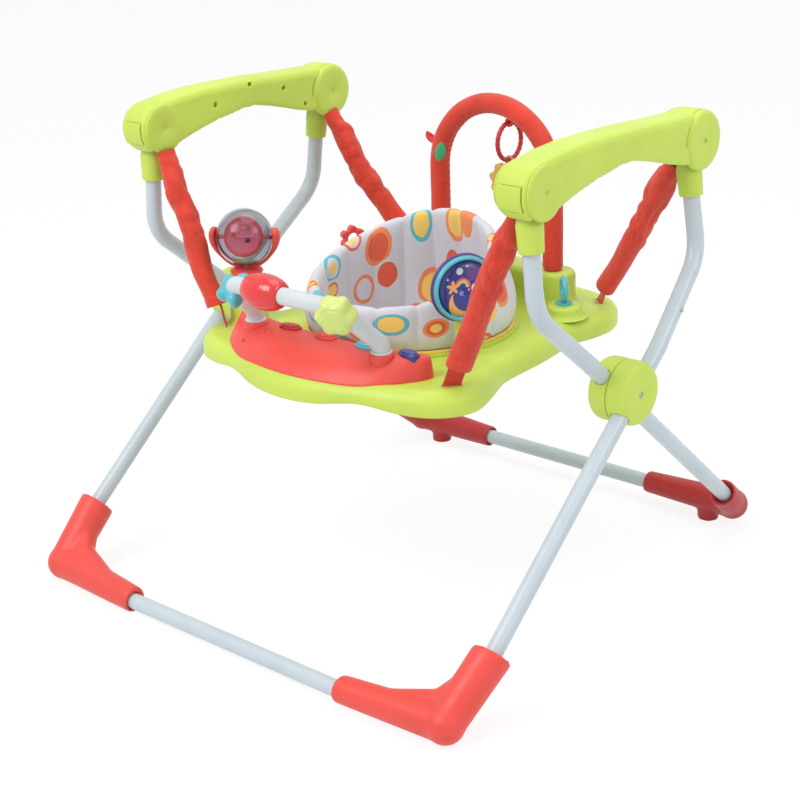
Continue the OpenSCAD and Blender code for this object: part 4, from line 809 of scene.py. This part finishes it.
def pivot_ring(sign, y, profile, inner):
    """A turned ring on a rail's face; profile is (radius, distance from the frame's middle)."""
    size = 0.85 if inner == (sign > 0) else 1.0
    points = [(r * size / 1000, (2 * RAIL_X - x if inner else x) / 1000) for r, x in profile]
    return lathe("pivot_ring", points, place(0, y, PIN_Z), (sign, 0, 0), lime, 96)


def hood(sign):
    rings = []
    for x in (345, 352, 359, 368, 377, 384, 391):
        r = DRUM_R * (1 - crown(sign * (x - RAIL_X) + RAIL_HALF_W))
        rings.append([np.array(place(sign * x, PIN_Y + r * math.sin(t), PIN_Z + r * math.cos(t)))
                      for t in np.radians(np.linspace(-30, 116, 60))])
    made = skin("hood", rings, lime, (False, False), wrap=False)
    return thicken(made, 0.0015, 0.0)


def arc_slot(sign, inner):
    """The slit between a rail and its drum."""
    rings = []
    for t in np.radians(np.linspace(-3, 34, 16)):
        ring = []
        for r, x in ((44.6, 392), (47.0, 392), (47.0, 403), (44.6, 403)):
            x = 2 * RAIL_X - x if inner else x
            ring.append(np.array(place(sign * x, PIN_Y - r * math.cos(t), PIN_Z + r * math.sin(t))))
        rings.append(ring)
    return skin("arc_slot", rings, dark)


for side, sign in SIDES.items():
    shells = ["arm_outer_shell_" + side, "arm_inner_shell_" + side]
    rail = shape_rail(soften(shells, 0.0015, 9, lime, "rail_shells"), sign)
    rail = cut(rail, arc_slot(sign, sign < 0))
    rings = [pivot_ring(sign, PIN_Y, DRUM, inner) for inner in (False, True)]
    rings += [pivot_ring(sign, -PIN_Y, DISC, inner) for inner in (False, True)]
    rail = join("hand_rail_" + side, [rail, *rings, hood(sign)])
    stand_for(rail, "hand_rails", *shells, slot="lime_moulding")

# Console: a domed crescent with sockets for the bar, a speaker and a small recess

CONSOLE_SHARES = [(0, -1.55), (.34, -1.33), (.6, -.86), (.78, -.2), (.854, .3), (.9, .7), (.92, 1.05),
                  (.912, 1.3), (.87, 1.42), (.78, 1.36), (.6, 1.14), (.31, .97), (0, .92)]
CONSOLE_W, CONSOLE_D, CONSOLE_Y, CONSOLE_H = 206.0, 40.0, -226.0, 32.0
CONSOLE_LEFT = 1.06
BAR_FOOT = (128.0, -217.0)
SOCKET = [(0.0133, 0.010), (0.0195, 0.012), (0.0186, 0.033), (0.0176, 0.0358), (0.0160, 0.037), (0.0133, 0.037),
          (0.0133, 0.010)]
FLANGE = [(0.0131, 0.036), (0.0158, 0.037), (0.0162, 0.0385), (0.0152, 0.040), (0.0131, 0.0404), (0.0131, 0.036)]


def console_dome():
    outline = even(spline(both_sides(CONSOLE_SHARES, CONSOLE_W, CONSOLE_D, CONSOLE_Y), 12, True), 260)
    outline[:, 0] *= np.where(outline[:, 0] < 0, CONSOLE_LEFT, 1.0)
    tip = int(np.argmax(outline[:, 0]))
    end = int(np.argmin(outline[:, 0]))
    front = np.vstack([outline[end:], outline[:tip + 1]])
    rear = outline[tip:end + 1][::-1]
    flow = np.roll(outline, -1, axis=0) - np.roll(outline, 1, axis=0)
    flow /= np.linalg.norm(flow, axis=1)[:, None]
    spine_x = np.clip(outline[:, 0] * 0.93, -CONSOLE_W * 0.86, CONSOLE_W * 0.86)
    spine_y = 0.28 * np.interp(spine_x, front[:, 0], front[:, 1]) + 0.72 * np.interp(spine_x, rear[:, 0], rear[:, 1])
    spine = np.stack([spine_x, spine_y], axis=1)
    reach = np.array([0.34 + 0.66 * fade(f[0], -0.35, 0.9) for f in flow])
    foot = tray_skin(outline)
    rings = [[np.array(place(x, y, z + h)) for (x, y), z in zip(outline, foot)] for h in (-3.0, 1.6)]
    for share in list(np.linspace(0.02, 0.9, 34)) + [0.95, 1.0]:
        depth = np.minimum(share / reach, 1.0)
        rise = foot + 1.6 + (TRAY_TOP + CONSOLE_H - 0.2 - foot - 1.6) * (1 - (1 - depth) ** 2.4) + 0.2 * share
        flat = outline * (1 - share) + spine * share
        rings.append([np.array(place(x, y, z)) for (x, y), z in zip(flat, rise)])
    return weld(skin("console_dome", rings, coral, (True, False)))


# Each well's cutter is dark red: painted shade for the walls of the holes it cuts.
def well(x, y, r, low, high):
    return rod("well", place(x, y, TRAY_TOP + low), place(x, y, TRAY_TOP + high), r / 1000, dark_red, 24)


wells = [well(-123, -246, 4.6, 4, 50)]
for count, r in ((1, 0.0), (6, 9.5)):
    for k in range(count):
        a = 2 * math.pi * (k + 0.25) / count
        wells.append(well(-90 + r * math.cos(a), -235 + r * math.sin(a), 1.6, 6, 50))
dome = cut(console_dome(), *wells)
collars = []
for sign in SIDES.values():
    foot = place(sign * BAR_FOOT[0], BAR_FOOT[1], TRAY_TOP)
    collars.append(lathe("socket", SOCKET, foot, (0, 0, 1), coral, 64))
    collars.append(lathe("flange", FLANGE, foot, (0, 0, 1), white, 64))
stand_for(join("console_domed", [dome, *collars]), "tray", "console_housing", slot="coral_moulding")

# Corner pieces of the toy bar


def pillow(name, centre, axis, radius, mean, thick, groove, material, sides=120):
    """A puffy lobed moulding; radius gives the outline at an angle, groove a ring pressed into the faces."""
    axis = Vector(axis).normalized()
    level = axis.cross(Vector((0, 0, 1))).normalized()
    upright = level.cross(axis)
    rings = []
    for k in range(61):
        v = math.pi * (k / 60 - 0.5) * 0.994
        share = math.cos(v) ** 0.55
        rise = thick / 2 * math.copysign(abs(math.sin(v)) ** 0.8, v)
        rise -= math.copysign(0.0012, v) * math.exp(-((share - groove) / 0.035) ** 2) if abs(v) > 0.6 else 0
        ring = []
        for j in range(sides):
            t = 2 * math.pi * j / sides
            r = share * (mean + (radius(t) - mean) * fade(share, 0.35, 1.0))
            ring.append(np.array(Vector(centre) + axis * rise + (level * math.cos(t) + upright * math.sin(t)) * r))
        rings.append(ring)
    return skin(name, rings, material)


flower = pillow("bar_flower_puffed", place(105, -282, 505), (0.42, -0.86, -0.30),
                lambda t: 0.0282 + 0.0026 * math.cos(6 * t), 0.0265, 0.038, 0.7, pale_lime)
stand_for(flower, "tray", "bar_flower", slot="lime_moulding")
star = pillow("bar_star_puffed", place(-109, -271, 501), (-0.21, 0.60, -0.77),
              lambda t: 0.0246 + 0.0050 * math.cos(5 * t + 0.6), 0.0225, 0.030, 0.66, teal)
stand_for(star, "tray", "bar_star", slot="teal_moulding")

# Globe holder: a dish and two paddles that end in the axle's pins

GLOBE, GLOBE_TURN = place(*GLOBE_AT, 535), math.atan2(134, 222)
AXLE = Vector((math.cos(GLOBE_TURN), math.sin(GLOBE_TURN), 0))
BESIDE = Vector((-math.sin(GLOBE_TURN), math.cos(GLOBE_TURN), 0))


def paddle(sign):
    rings = []
    for i in range(45):
        t = i / 44
        a = math.radians(-84 + 103 * t)
        out = AXLE * sign * math.cos(a) + Vector((0, 0, math.sin(a)))
        end = math.sqrt(max(0.0, 1 - max(0.0, (t - 0.84) / 0.16) ** 2))
        half = (0.0052 + 0.0046 * fade(t, 0.3, 0.8)) * max(end, 0.05)
        thick = (0.0026 + 0.0028 * fade(t, 0.4, 0.85)) * max(end, 0.05) ** 0.5
        ring = []
        for j in range(28):
            p = 2 * math.pi * j / 28
            x = math.copysign(abs(math.cos(p)) ** 0.7, math.cos(p))
            y = math.copysign(abs(math.sin(p)) ** 0.7, math.sin(p))
            ring.append(np.array(GLOBE + out * (0.0459 + thick * (1 + y)) + BESIDE * half * x))
        rings.append(ring)
    return skin("paddle", rings, coral)


dish = lathe("dish", [(0, 0), (0.0235, 0), (0.0255, 0.0012), (0.0262, 0.0030), (0.0250, 0.0052), (0.0190, 0.0075),
                      (0.0110, 0.0092), (0, 0.0100)], place(*GLOBE_AT, 478), (0, 0, 1), coral, 72)
pins = [rod("pin", GLOBE + AXLE * sign * 0.037, GLOBE + AXLE * sign * 0.049, 0.0030, coral) for sign in (-1, 1)]
stand_for(join("globe_holder", [dish, paddle(1), paddle(-1), *pins]), "tray", "globe_stand", slot="coral_moulding")

# Globe core: a rippled dish that tumbles on the axle, with a rim and a few beads

FACING = Vector((0.49, -0.816, 0.303))
bowl = [(0.0042 + 0.0245 * k / 40, 0.0100 * (k / 40) ** 1.6 + 0.0009 * math.sin(k * 0.55)) for k in range(41)]
bowl += [(r, h - 0.0022) for r, h in reversed(bowl)]
bowl.append(bowl[0])
RIM = [(0.0292 + 0.0025 * math.cos(a), 0.0090 + 0.0025 * math.sin(a)) for a in np.linspace(0, 2 * math.pi, 17)]
core = [rod("spindle", GLOBE - AXLE * 0.0415, GLOBE + AXLE * 0.0415, 0.0036, pink_painted_glow),
        lathe("bowl", bowl, GLOBE - FACING * 0.002, FACING, pink_painted_glow, 96),
        lathe("rim", RIM, GLOBE - FACING * 0.002, FACING, rim_red_painted_glow, 96)]
ACROSS = FACING.cross(AXLE)
for a, r, finish in ((-40, 0.008, purple), (70, 0.014, tan), (170, 0.017, rim_red_painted_glow)):
    spot = GLOBE + (AXLE * math.cos(math.radians(a)) + ACROSS * math.sin(math.radians(a))) * r + FACING * 0.0045
    core.append(lathe("bead", [(0.0042 * math.cos(v), 0.0042 * math.sin(v)) for v in np.linspace(-1.5, 1.5, 13)],
                      spot, FACING, finish, 24))
stand_for(join("globe_spinner", core), "globe", "globe_core", slot="coral_moulding")

# Sleeves, webbing and springs

TOP_X, TOP_Y, TOP_Z, SLEEVE_SHARE = 332.0, 188.0, 655.0, 0.88
TUCK = 0.011


def pull_line(side, end):
    sign = SIDES[side]
    x, y, z = SLOTS[end]
    top = np.array(place(sign * TOP_X, -TOP_Y if end == "front" else TOP_Y, TOP_Z))
    low = np.array(place(sign * x, y, z))
    along = (low - top) / np.linalg.norm(low - top)
    wide = np.cross([0, 0, 1.0], along)
    wide /= np.linalg.norm(wide)
    return top, low, along, wide, np.cross(along, wide)


BOW_WAY = np.array([0.743, 0.669, 0])
BOWS = {("right", "front"): (0.012, 0.006, 0.001), ("right", "rear"): (0.011, 0.010, -0.001),
        ("left", "front"): (0.0, -0.006, -0.005), ("left", "rear"): (0.0, -0.016, -0.010)}


def bow(side, end, t):
    """How far a sleeve hangs off the straight line, at its top, middle and hem."""
    a, b, c = BOWS[side, end]
    return BOW_WAY * (a * (1 - t) * (1 - 2 * t) + b * 4 * t * (1 - t) + c * t * (2 * t - 1))


def sleeve(side, end, seed):
    """A cloth tube, tucked flat into the rail, bunched over the spring and slack and flat below."""
    top, low, along, wide, deep = pull_line(side, end)
    length = np.linalg.norm(low - top) * SLEEVE_SHARE + TUCK
    flat_dir = np.array(slot_frame(side, end)[1])
    if flat_dir @ wide < 0:
        flat_dir = -flat_dir
    rows, sides = 230, 72
    seam_dir = np.array([0.45, -0.89, 0])
    seed_at = Vector((seed * 17.3, seed * 5.1, seed * 9.7))
    rings, heights = [], []
    for i in range(rows + 1):
        t = i / rows
        run = length * t
        bunched = fade(t, 0.02, 0.10) * (1 - fade(t, 0.52, 0.72))
        mouth = 1 - fade(run, 0.0, 0.055)
        slack = fade(t, 0.5, 0.9)
        sway = fade(t, 0.08, 0.25) * (1 - fade(t, 0.75, 0.95))
        lean = seed_at + Vector((0, 0, run / 0.075))
        centre = top + along * (run - TUCK) + np.array([SIDES[side] * 0.003, 0, 0]) * mouth + bow(side, end, t) \
            + wide * 0.005 * sway * noise.noise(lean) + deep * 0.005 * sway * noise.noise(lean + Vector((9, 4, 2)))
        across = wide * (1 - slack) + flat_dir * slack
        across = across * (1 - mouth) + np.array([0, math.copysign(1, wide[1]), 0]) * mouth
        across -= along * (across @ along)
        across /= np.linalg.norm(across)
        back = np.cross(along, across)
        a = 0.0178 + 0.0014 * slack - 0.0016 * mouth
        b = 0.0172 - 0.0014 * slack - 0.0060 * mouth
        seam_at = math.atan2(seam_dir @ back, seam_dir @ across)
        hem = math.exp(-((run - length + 0.017) / 0.0016) ** 2)
        ring = []
        for j in range(sides):
            phi = 2 * math.pi * j / sides
            skew = run + 0.011 * math.sin(phi + seed * 1.9)
            q = seed_at + Vector((math.cos(phi) * 0.8, math.sin(phi) * 0.8, skew / 0.036))
            fold = abs(noise.noise(q)) ** 0.85
            minor = abs(noise.noise(q * 2.1 + Vector((3, 7, 1))))
            swell = noise.noise(seed_at + Vector((math.cos(phi) * 0.6, math.sin(phi) * 0.6, run / 0.030)))
            calm = noise.noise(seed_at + Vector((math.cos(phi), math.sin(phi), run / 0.060)))
            size = bunched * (0.0062 * (fold - 0.22) + 0.0013 * (minor - 0.2) + 0.0034 * swell)
            size += 0.0012 * calm * (1 - mouth)
            off = (phi - seam_at + math.pi) % (2 * math.pi) - math.pi
            size -= 0.0009 * math.exp(-(off / 0.055) ** 2) * (1 - mouth) + 0.0006 * hem
            ring.append(centre + across * (a + size) * math.cos(phi) + back * (b + size) * math.sin(phi))
        rings.append(ring)
        heights.append(length - run)
    girth = 0.124
    uv = ([girth * j / sides for j in range(sides + 1)], heights)
    name = "spring_sleeve_%s_%s" % (end, side)
    made = skin(name + "_cloth", rings, cloth, (False, False), uv)
    thicken(made, 0.0010, -1.0)
    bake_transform(made)
    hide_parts(name)
    return made


for seed, (side, end) in enumerate((s, e) for s in SIDES for e in ("front", "rear")):
    sleeve(side, end, seed)


def strap(side, end):
    """Flat webbing from inside the sleeve's hem through the tray's slot."""
    top, low, along = pull_line(side, end)[:3]
    wide = np.array(slot_frame(side, end)[1])
    wide -= along * (wide @ along)
    wide /= np.linalg.norm(wide)
    deep = np.cross(along, wide)
    full = np.linalg.norm(low - top)
    start, stop = full * (SLEEVE_SHARE - 0.03), full + 0.010
    rings = []
    for i in range(13):
        t = i / 12
        mid = top + along * (start + (stop - start) * t) + deep * 0.0008 * math.sin(t * 7)
        half, thick = 0.0128, 0.0008
        ring = [mid + wide * x * half + deep * y * thick for x, y in
                ((-1, -0.6), (-0.94, -1), (-0.5, -1), (0, -1), (0.5, -1), (0.94, -1), (1, -0.6),
                 (1, 0.6), (0.94, 1), (0.5, 1), (0, 1), (-0.5, 1), (-0.94, 1), (-1, 0.6))]
        rings.append(ring)
    us = [0, .002, .0065, .012, .0175, .022, .024, .026, .028, .0325, .038, .0435, .048, .050, .052]
    return skin("strap", rings, webbing, (True, True), (us, [0.005 * i for i in range(13)]))


straps = join("spring_webbing", [strap(s, e) for s in SIDES for e in SLOTS])
stand_for(straps, "tray", "spring_straps", slot="coral_fabric")


SPRING_SHARE = 0.5


def spring(side, end):
    """Coil that narrows to its axis at each end."""
    top, low, along, wide, deep = pull_line(side, end)
    full = np.linalg.norm(low - top)
    start, stop = 0.004, full * SPRING_SHARE
    turns, mean = 11, 0.0076
    path = []
    for i in range(turns * 14 + 1):
        t = i / (turns * 14)
        r = mean * min(1.0, t * 11, (1 - t) * 11)
        a = 2 * math.pi * turns * t
        mid = top + along * (start + (stop - start) * t) + bow(side, end, t * SPRING_SHARE)
        path.append(mid + wide * r * math.cos(a) + deep * r * math.sin(a))
    return sweep("spring", path, 0.0012, steel, 8)


coils = join("bounce_spring_coils", [spring(s, e) for s in SIDES for e in SLOTS])
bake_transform(coils)
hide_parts("bounce_springs")

# Padded seat

SEAT_FRONT_H, SEAT_BACK_H, SEAT_DEPTH, PAD = 72.0, 156.0, 108.0, 13.0
CHANNELS, BACK_IN = 16, 26.0
AROUND = 16 * 14


def seat_rise(a):
    return ((1 - math.cos(a)) / 2) ** 1.4


def seat_section(a):
    """Closed half section of the seat at angle a from its front, outer floor to inner floor, in millimetres."""
    barrel, floor, rim = HOLE_R - 0.4 - 4.0, TRAY_TOP - SEAT_DEPTH, TRAY_TOP + 4.4
    h = TRAY_TOP + SEAT_FRONT_H + (SEAT_BACK_H - SEAT_FRONT_H) * seat_rise(a)
    lean, over, rise = BACK_IN * seat_rise(a), barrel + PAD, h - rim
    outer = [(8, floor), (barrel * 0.45, floor + 3), (barrel * 0.8, floor + SEAT_DEPTH * 0.34),
             (barrel - 2.5, TRAY_TOP - 12), (barrel - 1, rim - 3.2), (over - 6, rim + 0.3), (over + 0.5, rim + 6),
             (over + 2.0, rim + rise * 0.35), (over - lean * 0.6 - 0.5, rim + rise * 0.72),
             (over - lean - PAD * 0.3, h - PAD * 0.5), (over - lean - PAD * 0.85, h - 1.5)]
    inner = [(over - lean - PAD * 1.45, h - PAD * 0.55), (over - lean * 0.65 - PAD * 1.75, rim + rise * 0.7),
             (barrel - PAD * 1.2, rim + rise * 0.2), (barrel - PAD * 1.5, TRAY_TOP - SEAT_DEPTH * 0.3),
             (barrel * 0.74, floor + PAD + 22), (barrel * 0.42, floor + PAD + 3), (8, floor + PAD)]
    return spline(outer + inner, 4)


def seat_mesh():
    rings = []
    for j in range(AROUND):
        a = 2 * math.pi * j / AROUND
        rings.append([np.array(place(r * math.sin(a), SEAT_Y - r * math.cos(a), z)) for r, z in seat_section(a)])
    rows = len(rings[0])
    level = [[rings[j][i] for j in range(AROUND)] for i in range(rows)]
    run = np.concatenate([[0], np.cumsum(np.linalg.norm(np.diff(seat_section(math.pi / 2), axis=0), axis=1))]) / 1000
    us = [0.140 * 2 * math.pi * j / AROUND for j in range(AROUND + 1)]
    made = skin("seat_cover", level, printed, (True, True), (us, run))
    return made, rows


SEAM_PITCH = 0.140 * 2 * math.pi / CHANNELS
printed = printed_cloth("printed_cloth", SEAM_PITCH)
seat, rows = seat_mesh()
weld(seat, 0)
rest = np.array([v.co for v in seat.data.vertices])
normals = np.array([v.normal for v in seat.data.vertices])
per = AROUND // CHANNELS
pinned, puff = [], np.zeros(len(rest))
for i in range(rows):
    for j in range(AROUND):
        k = i * AROUND + j
        lane = abs((j % per) / per - 0.5) * 2
        off = j % per
        free = fade(rest[k][2], 0.408, 0.425) if i < rows * 0.5 else fade(rest[k][2], 0.335, 0.36)
        puff[k] = free * (1 - lane ** 6)
        if off == 0 or free < 0.05:
            pinned.append(k)
pinned += [len(rest) - 2, len(rest) - 1]
seat.data.vertices.foreach_set("co", (rest + normals * (puff * 0.0035 - 0.002)[:, None]).ravel())
seat.data.update()
group = seat.vertex_groups.new(name="sewn")
group.add(pinned, 1.0, "REPLACE")
before = np.array([v.co for v in seat.data.vertices])
swell = seat.modifiers.new("swell", "CLOTH")
swell.settings.vertex_group_mass = "sewn"
swell.settings.use_pressure = True
swell.settings.uniform_pressure_force = 4.0
swell.settings.effector_weights.gravity = 0
swell.settings.quality = 4
swell.collision_settings.use_collision = False
swell.point_cache.frame_start, swell.point_cache.frame_end = 1, 20
for step in range(1, 21):
    bpy.context.scene.frame_set(step)
settle(seat)
after = np.array([v.co for v in seat.data.vertices])
move = after - before
size = np.linalg.norm(move, axis=1)
cap = 0.006
move *= np.where(size > cap, cap / np.maximum(size, 1e-9), 1.0)[:, None]
seat.data.vertices.foreach_set("co", (before + move).ravel())
seat.data.update()
bpy.context.scene.frame_set(1)
seat.vertex_groups.clear()


leg_axis = Vector((0, -math.sin(math.radians(28)), math.cos(math.radians(28))))
holes = []
for sign in SIDES.values():
    centre = place(sign * 62, SEAT_Y - 40, TRAY_TOP - SEAT_DEPTH)
    holes.append(rod("leg_hole", centre - leg_axis * 0.05, centre + leg_axis * 0.05, 0.046, binding))
cut(seat, *holes)
fine = seat.modifiers.new("fine", "SUBSURF")
fine.levels = fine.render_levels = 1
settle(seat)
seat.data.shade_smooth()
stand_for(seat, "seat", "seat_pad", slot="seat_fabric")
edge = []
for j in range(180):
    a = 2 * math.pi * j / 180
    r, z = 160.5 + 0.8 * math.sin(8 * a), TRAY_TOP + 5.6
    edge.append(np.array(place(r * math.sin(a), SEAT_Y - r * math.cos(a), z)))
edge.append(edge[0])
piping = sweep("seat_binding", edge, 0.0030, binding, 12, (False, False))
stand_for(piping, "seat", slot="seat_fabric")

# Toy arch with a gathered inner seam, leaf tab and patch

ARCH_W, ARCH_Y, ARCH_R, ARCH_Z, BOW_Z = 115.0, 207.0, 16.5, 455.0, 594.0
path = [(-ARCH_W, z) for z in np.linspace(ARCH_Z, BOW_Z, 48, endpoint=False)]
path += [(-ARCH_W * math.cos(t), BOW_Z + ARCH_W * math.sin(t)) for t in np.linspace(0, math.pi, 150, endpoint=False)]
path += [(ARCH_W, z) for z in np.linspace(BOW_Z, ARCH_Z, 49)]
rings = []
for i, (x, z) in enumerate(path):
    share = i / (len(path) - 1)
    if z <= BOW_Z:
        out = Vector((math.copysign(1, x), 0, 0))
    else:
        out = Vector((x, 0, z - BOW_Z)).normalized()
    centre = place(x, ARCH_Y, z)
    ring = []
    for j in range(48):
        phi = 2 * math.pi * j / 48
        inner = max(0.0, -math.cos(phi)) ** 3
        lump = noise.noise(Vector((math.cos(phi) * 1.2, math.sin(phi) * 1.2, share * 16)))
        pucker = math.sin(share * 2 * math.pi * 62 + 1.5 * noise.noise(Vector((share * 40, 2.0, 0))))
        end = fade(min(share, 1 - share), 0.0, 0.012)
        r = (ARCH_R + 0.5 * lump + inner * (0.75 * pucker - 0.9) - 2.2 * (1 - end)) / 1000
        seam = 0.0007 * math.exp(-((abs(phi - math.pi)) / 0.09) ** 2)
        ring.append(np.array(centre + out * (r - seam) * math.cos(phi) + Vector((0, (r - seam) * math.sin(phi), 0))))
    rings.append(ring)
uv = ([2 * math.pi * 0.0165 * j / 48 for j in range(49)], [0.0026 * i for i in range(len(rings))])
arch = skin("toy_arch_cloth", rings, cloth, (True, True), uv)
spigots = [lathe("spigot", [(0, -0.020), (0.009, -0.020), (0.010, -0.019), (0.010, 0.004), (0, 0.004)],
                 place(x, ARCH_Y, ARCH_Z), (0, 0, 1), lime, 40) for x in (-ARCH_W, ARCH_W)]


def leaf(name, centre, along, across, length, width, thick, material):
    """A stuffed leaf shape with a raised middle."""
    normal = Vector(along).cross(Vector(across)).normalized()
    grid = []
    for i in range(17):
        t = i / 16
        half = width / 2 * math.sin(math.pi * t) ** 0.75
        row = []
        for j in range(9):
            s = j / 8 * 2 - 1
            rise = thick * (1 - s * s) * math.sin(math.pi * t) ** 0.5
            row.append(np.array(Vector(centre) + Vector(along) * length * (t - 0.5) + Vector(across) * half * s
                                + normal * rise))
        grid.append(row)
    made = skin(name, grid, material, (False, False), ([width * j / 8 for j in range(10)],
                                                       [length * i / 16 for i in range(17)]), wrap=False)
    return thicken(made, 0.0014, -1.0)


bow = place(0, ARCH_Y, BOW_Z)
tab = leaf("tab", bow + Vector((-0.1300, -0.003, 0.046)), Vector((-0.66, 0, 0.75)), Vector((0.3, 0.95, 0)),
           0.026, 0.016, 0.002, cloth)
patch_at = math.radians(165)
patch_out = Vector((math.cos(patch_at), 0, math.sin(patch_at)))
patch_normal = (patch_out * -0.55 + Vector((0, -0.83, 0))).normalized()
patch_along = Vector((patch_out.z, 0, -patch_out.x))
patch = leaf("patch", bow + patch_out * 0.115 + patch_normal * 0.0152, patch_along,
             patch_normal.cross(patch_along), 0.034, 0.017, 0.0022, leaf_green)
eyelet = lathe("eyelet", [(0.0045, -0.0025), (0.0066, -0.0025), (0.0074, -0.0015), (0.0074, 0.0015), (0.0066, 0.0025),
                          (0.0045, 0.0025), (0.0045, -0.0025)], place(30, ARCH_Y, 682.41), (0, 1, 0), cloth, 40)
arch = join("toy_arch_padded", [arch, *spigots, tab, patch, eyelet])
stand_for(arch, "tray", "toy_arch", slot="coral_fabric")

# Ring link with beads

link_z = 652.41
loop = []
for i in range(241):
    t = 2 * math.pi * i / 240
    loop.append(np.array(place(30, ARCH_Y + 30 * math.sin(t), link_z + 30 * math.cos(t))))
link = sweep("ring_link_beaded", loop, lambda s, a: 0.0033 + 0.0006 * abs(math.sin(s * math.pi * 22)), dark_red, 20,
             (False, False))
stand_for(link, "link", "ring_link", slot="coral_moulding")

# Spinning disc

turn = math.atan2(8 - 91, 178)
out = Vector((math.cos(turn), math.sin(turn), 0))
level = Vector((-out.y, out.x, 0))
centre = place(178, -91, 510)
face = disc_face("disc_face", centre, level, (0, 0, 1))
SPIN_RIM = [(0.0425, 0.0035), (0.0432, 0.0066), (0.0448, 0.0076), (0.0466, 0.0072), (0.0480, 0.0056), (0.0484, 0.0030),
            (0.0484, -0.0002), (0.0420, -0.0002), (0.0425, 0.0035)]
SPIN_FACE = [(0, 0.0046), (0.012, 0.0045), (0.026, 0.0041), (0.0426, 0.0032), (0.0426, 0.0005), (0, 0.0005)]
SPIN_BACK = [(0.0042, -0.0090), (0.028, -0.0088), (0.044, -0.0080), (0.0500, -0.0062), (0.0512, -0.0040),
             (0.0506, -0.0018), (0.0485, -0.0004), (0.0042, -0.0002), (0.0042, -0.0090)]
parts = [lathe(name, profile, centre, out, finish, 96) for name, profile, finish in
         (("rim", SPIN_RIM, teal), ("face", SPIN_FACE, face), ("back", SPIN_BACK, purple))]
disc = join("spinner_disc_printed", parts)
stand_for(disc, "disc", "spinner_disc", slot="navy_moulding")

# Floor, light and camera

SKY_LIGHT, FLOOR_HALF, FLOOR_GLOW_SHARE, FLOOR_GLOW = 0.62, 14, 0.8, 1.06


def background_rays(tree):
    """1 on the rays that show the background: camera, glossy and transmission rays."""
    rays = tree.nodes.new("ShaderNodeLightPath")
    found = rays.outputs["Is Camera Ray"]
    for kind in ("Is Glossy Ray", "Is Transmission Ray"):
        most = tree.nodes.new("ShaderNodeMath")
        most.operation = "MAXIMUM"
        tree.links.new(found, most.inputs[0])
        tree.links.new(rays.outputs[kind], most.inputs[1])
        found = most.outputs[0]
    return found


floor = make("floor", [(FLOOR_HALF * a, FLOOR_HALF * b, 0) for a, b in ((-1, -1), (1, -1), (1, 1), (-1, 1))],
             [(0, 1, 2, 3)], bpy.data.materials.new("floor"), False)
ground = floor.data.materials[0]
ground.use_nodes = True
tree = ground.node_tree
tree.nodes.clear()
share = tree.nodes.new("ShaderNodeMath")
share.operation = "MULTIPLY"
share.inputs[1].default_value = FLOOR_GLOW_SHARE
tree.links.new(background_rays(tree), share.inputs[0])
matte = tree.nodes.new("ShaderNodeBsdfDiffuse")
matte.inputs["Color"].default_value = (0.86, 0.86, 0.86, 1)
glow = tree.nodes.new("ShaderNodeEmission")
glow.inputs["Strength"].default_value = FLOOR_GLOW
both = tree.nodes.new("ShaderNodeMixShader")
tree.links.new(share.outputs[0], both.inputs[0])
tree.links.new(matte.outputs[0], both.inputs[1])
tree.links.new(glow.outputs[0], both.inputs[2])
end = tree.nodes.new("ShaderNodeOutputMaterial")
tree.links.new(both.outputs[0], end.inputs["Surface"])

scene = bpy.context.scene
world = bpy.data.worlds.new("studio")
scene.world = world
world.use_nodes = True
sky = world.node_tree.nodes["Background"]
sky.inputs["Color"].default_value = (1.0, 1.0, 1.0, 1)
level = world.node_tree.nodes.new("ShaderNodeMath")
level.operation = "MULTIPLY_ADD"
level.inputs[1].default_value, level.inputs[2].default_value = 1 - SKY_LIGHT, SKY_LIGHT
world.node_tree.links.new(background_rays(world.node_tree), level.inputs[0])
world.node_tree.links.new(level.outputs[0], sky.inputs["Strength"])

LAMP_AIM = Vector((0, 0, 0.4))
for name, at, size, power in (("key", (-0.6, -2.6, 3.0), 2.0, 62), ("side", (2.8, 0.4, 2.2), 1.6, 22),
                              ("top", (0.0, 0.6, 3.4), 2.4, 26)):
    data = bpy.data.lights.new(name, "AREA")
    data.shape, data.size, data.energy = "DISK", size, power
    made = bpy.data.objects.new(name, data)
    made.location = at
    made.rotation_euler = (LAMP_AIM - Vector(at)).to_track_quat("-Z", "Y").to_euler()
    scene.collection.objects.link(made)

YAW, PITCH, ROLL = math.radians(42.047), math.radians(20.584), math.radians(-1.947)
FOCAL, IMAGE, SENSOR, SHIFT = 1725.76, 800, 36.0, (-0.00025, -0.0011)
CAMERA_AT = (1.7006, -1.9242 + HUB_Y, 1.2367)
ahead = Vector((-math.sin(YAW) * math.cos(PITCH), math.cos(YAW) * math.cos(PITCH), -math.sin(PITCH)))
level = ahead.cross(Vector((0, 0, 1))).normalized()
upward = level.cross(ahead)
right = math.cos(ROLL) * level + math.sin(ROLL) * upward
above = -math.sin(ROLL) * level + math.cos(ROLL) * upward
camera = bpy.data.objects.new("camera", bpy.data.cameras.new("camera"))
camera.data.sensor_width = SENSOR
camera.data.lens = SENSOR * FOCAL / IMAGE
camera.data.shift_x, camera.data.shift_y = SHIFT
camera.data.clip_end = 60
camera.matrix_world = Matrix([(right[k], above[k], -ahead[k], CAMERA_AT[k]) for k in range(3)] + [(0, 0, 0, 1)])
scene.collection.objects.link(camera)
scene.camera = camera
scene.view_settings.view_transform = "Standard"
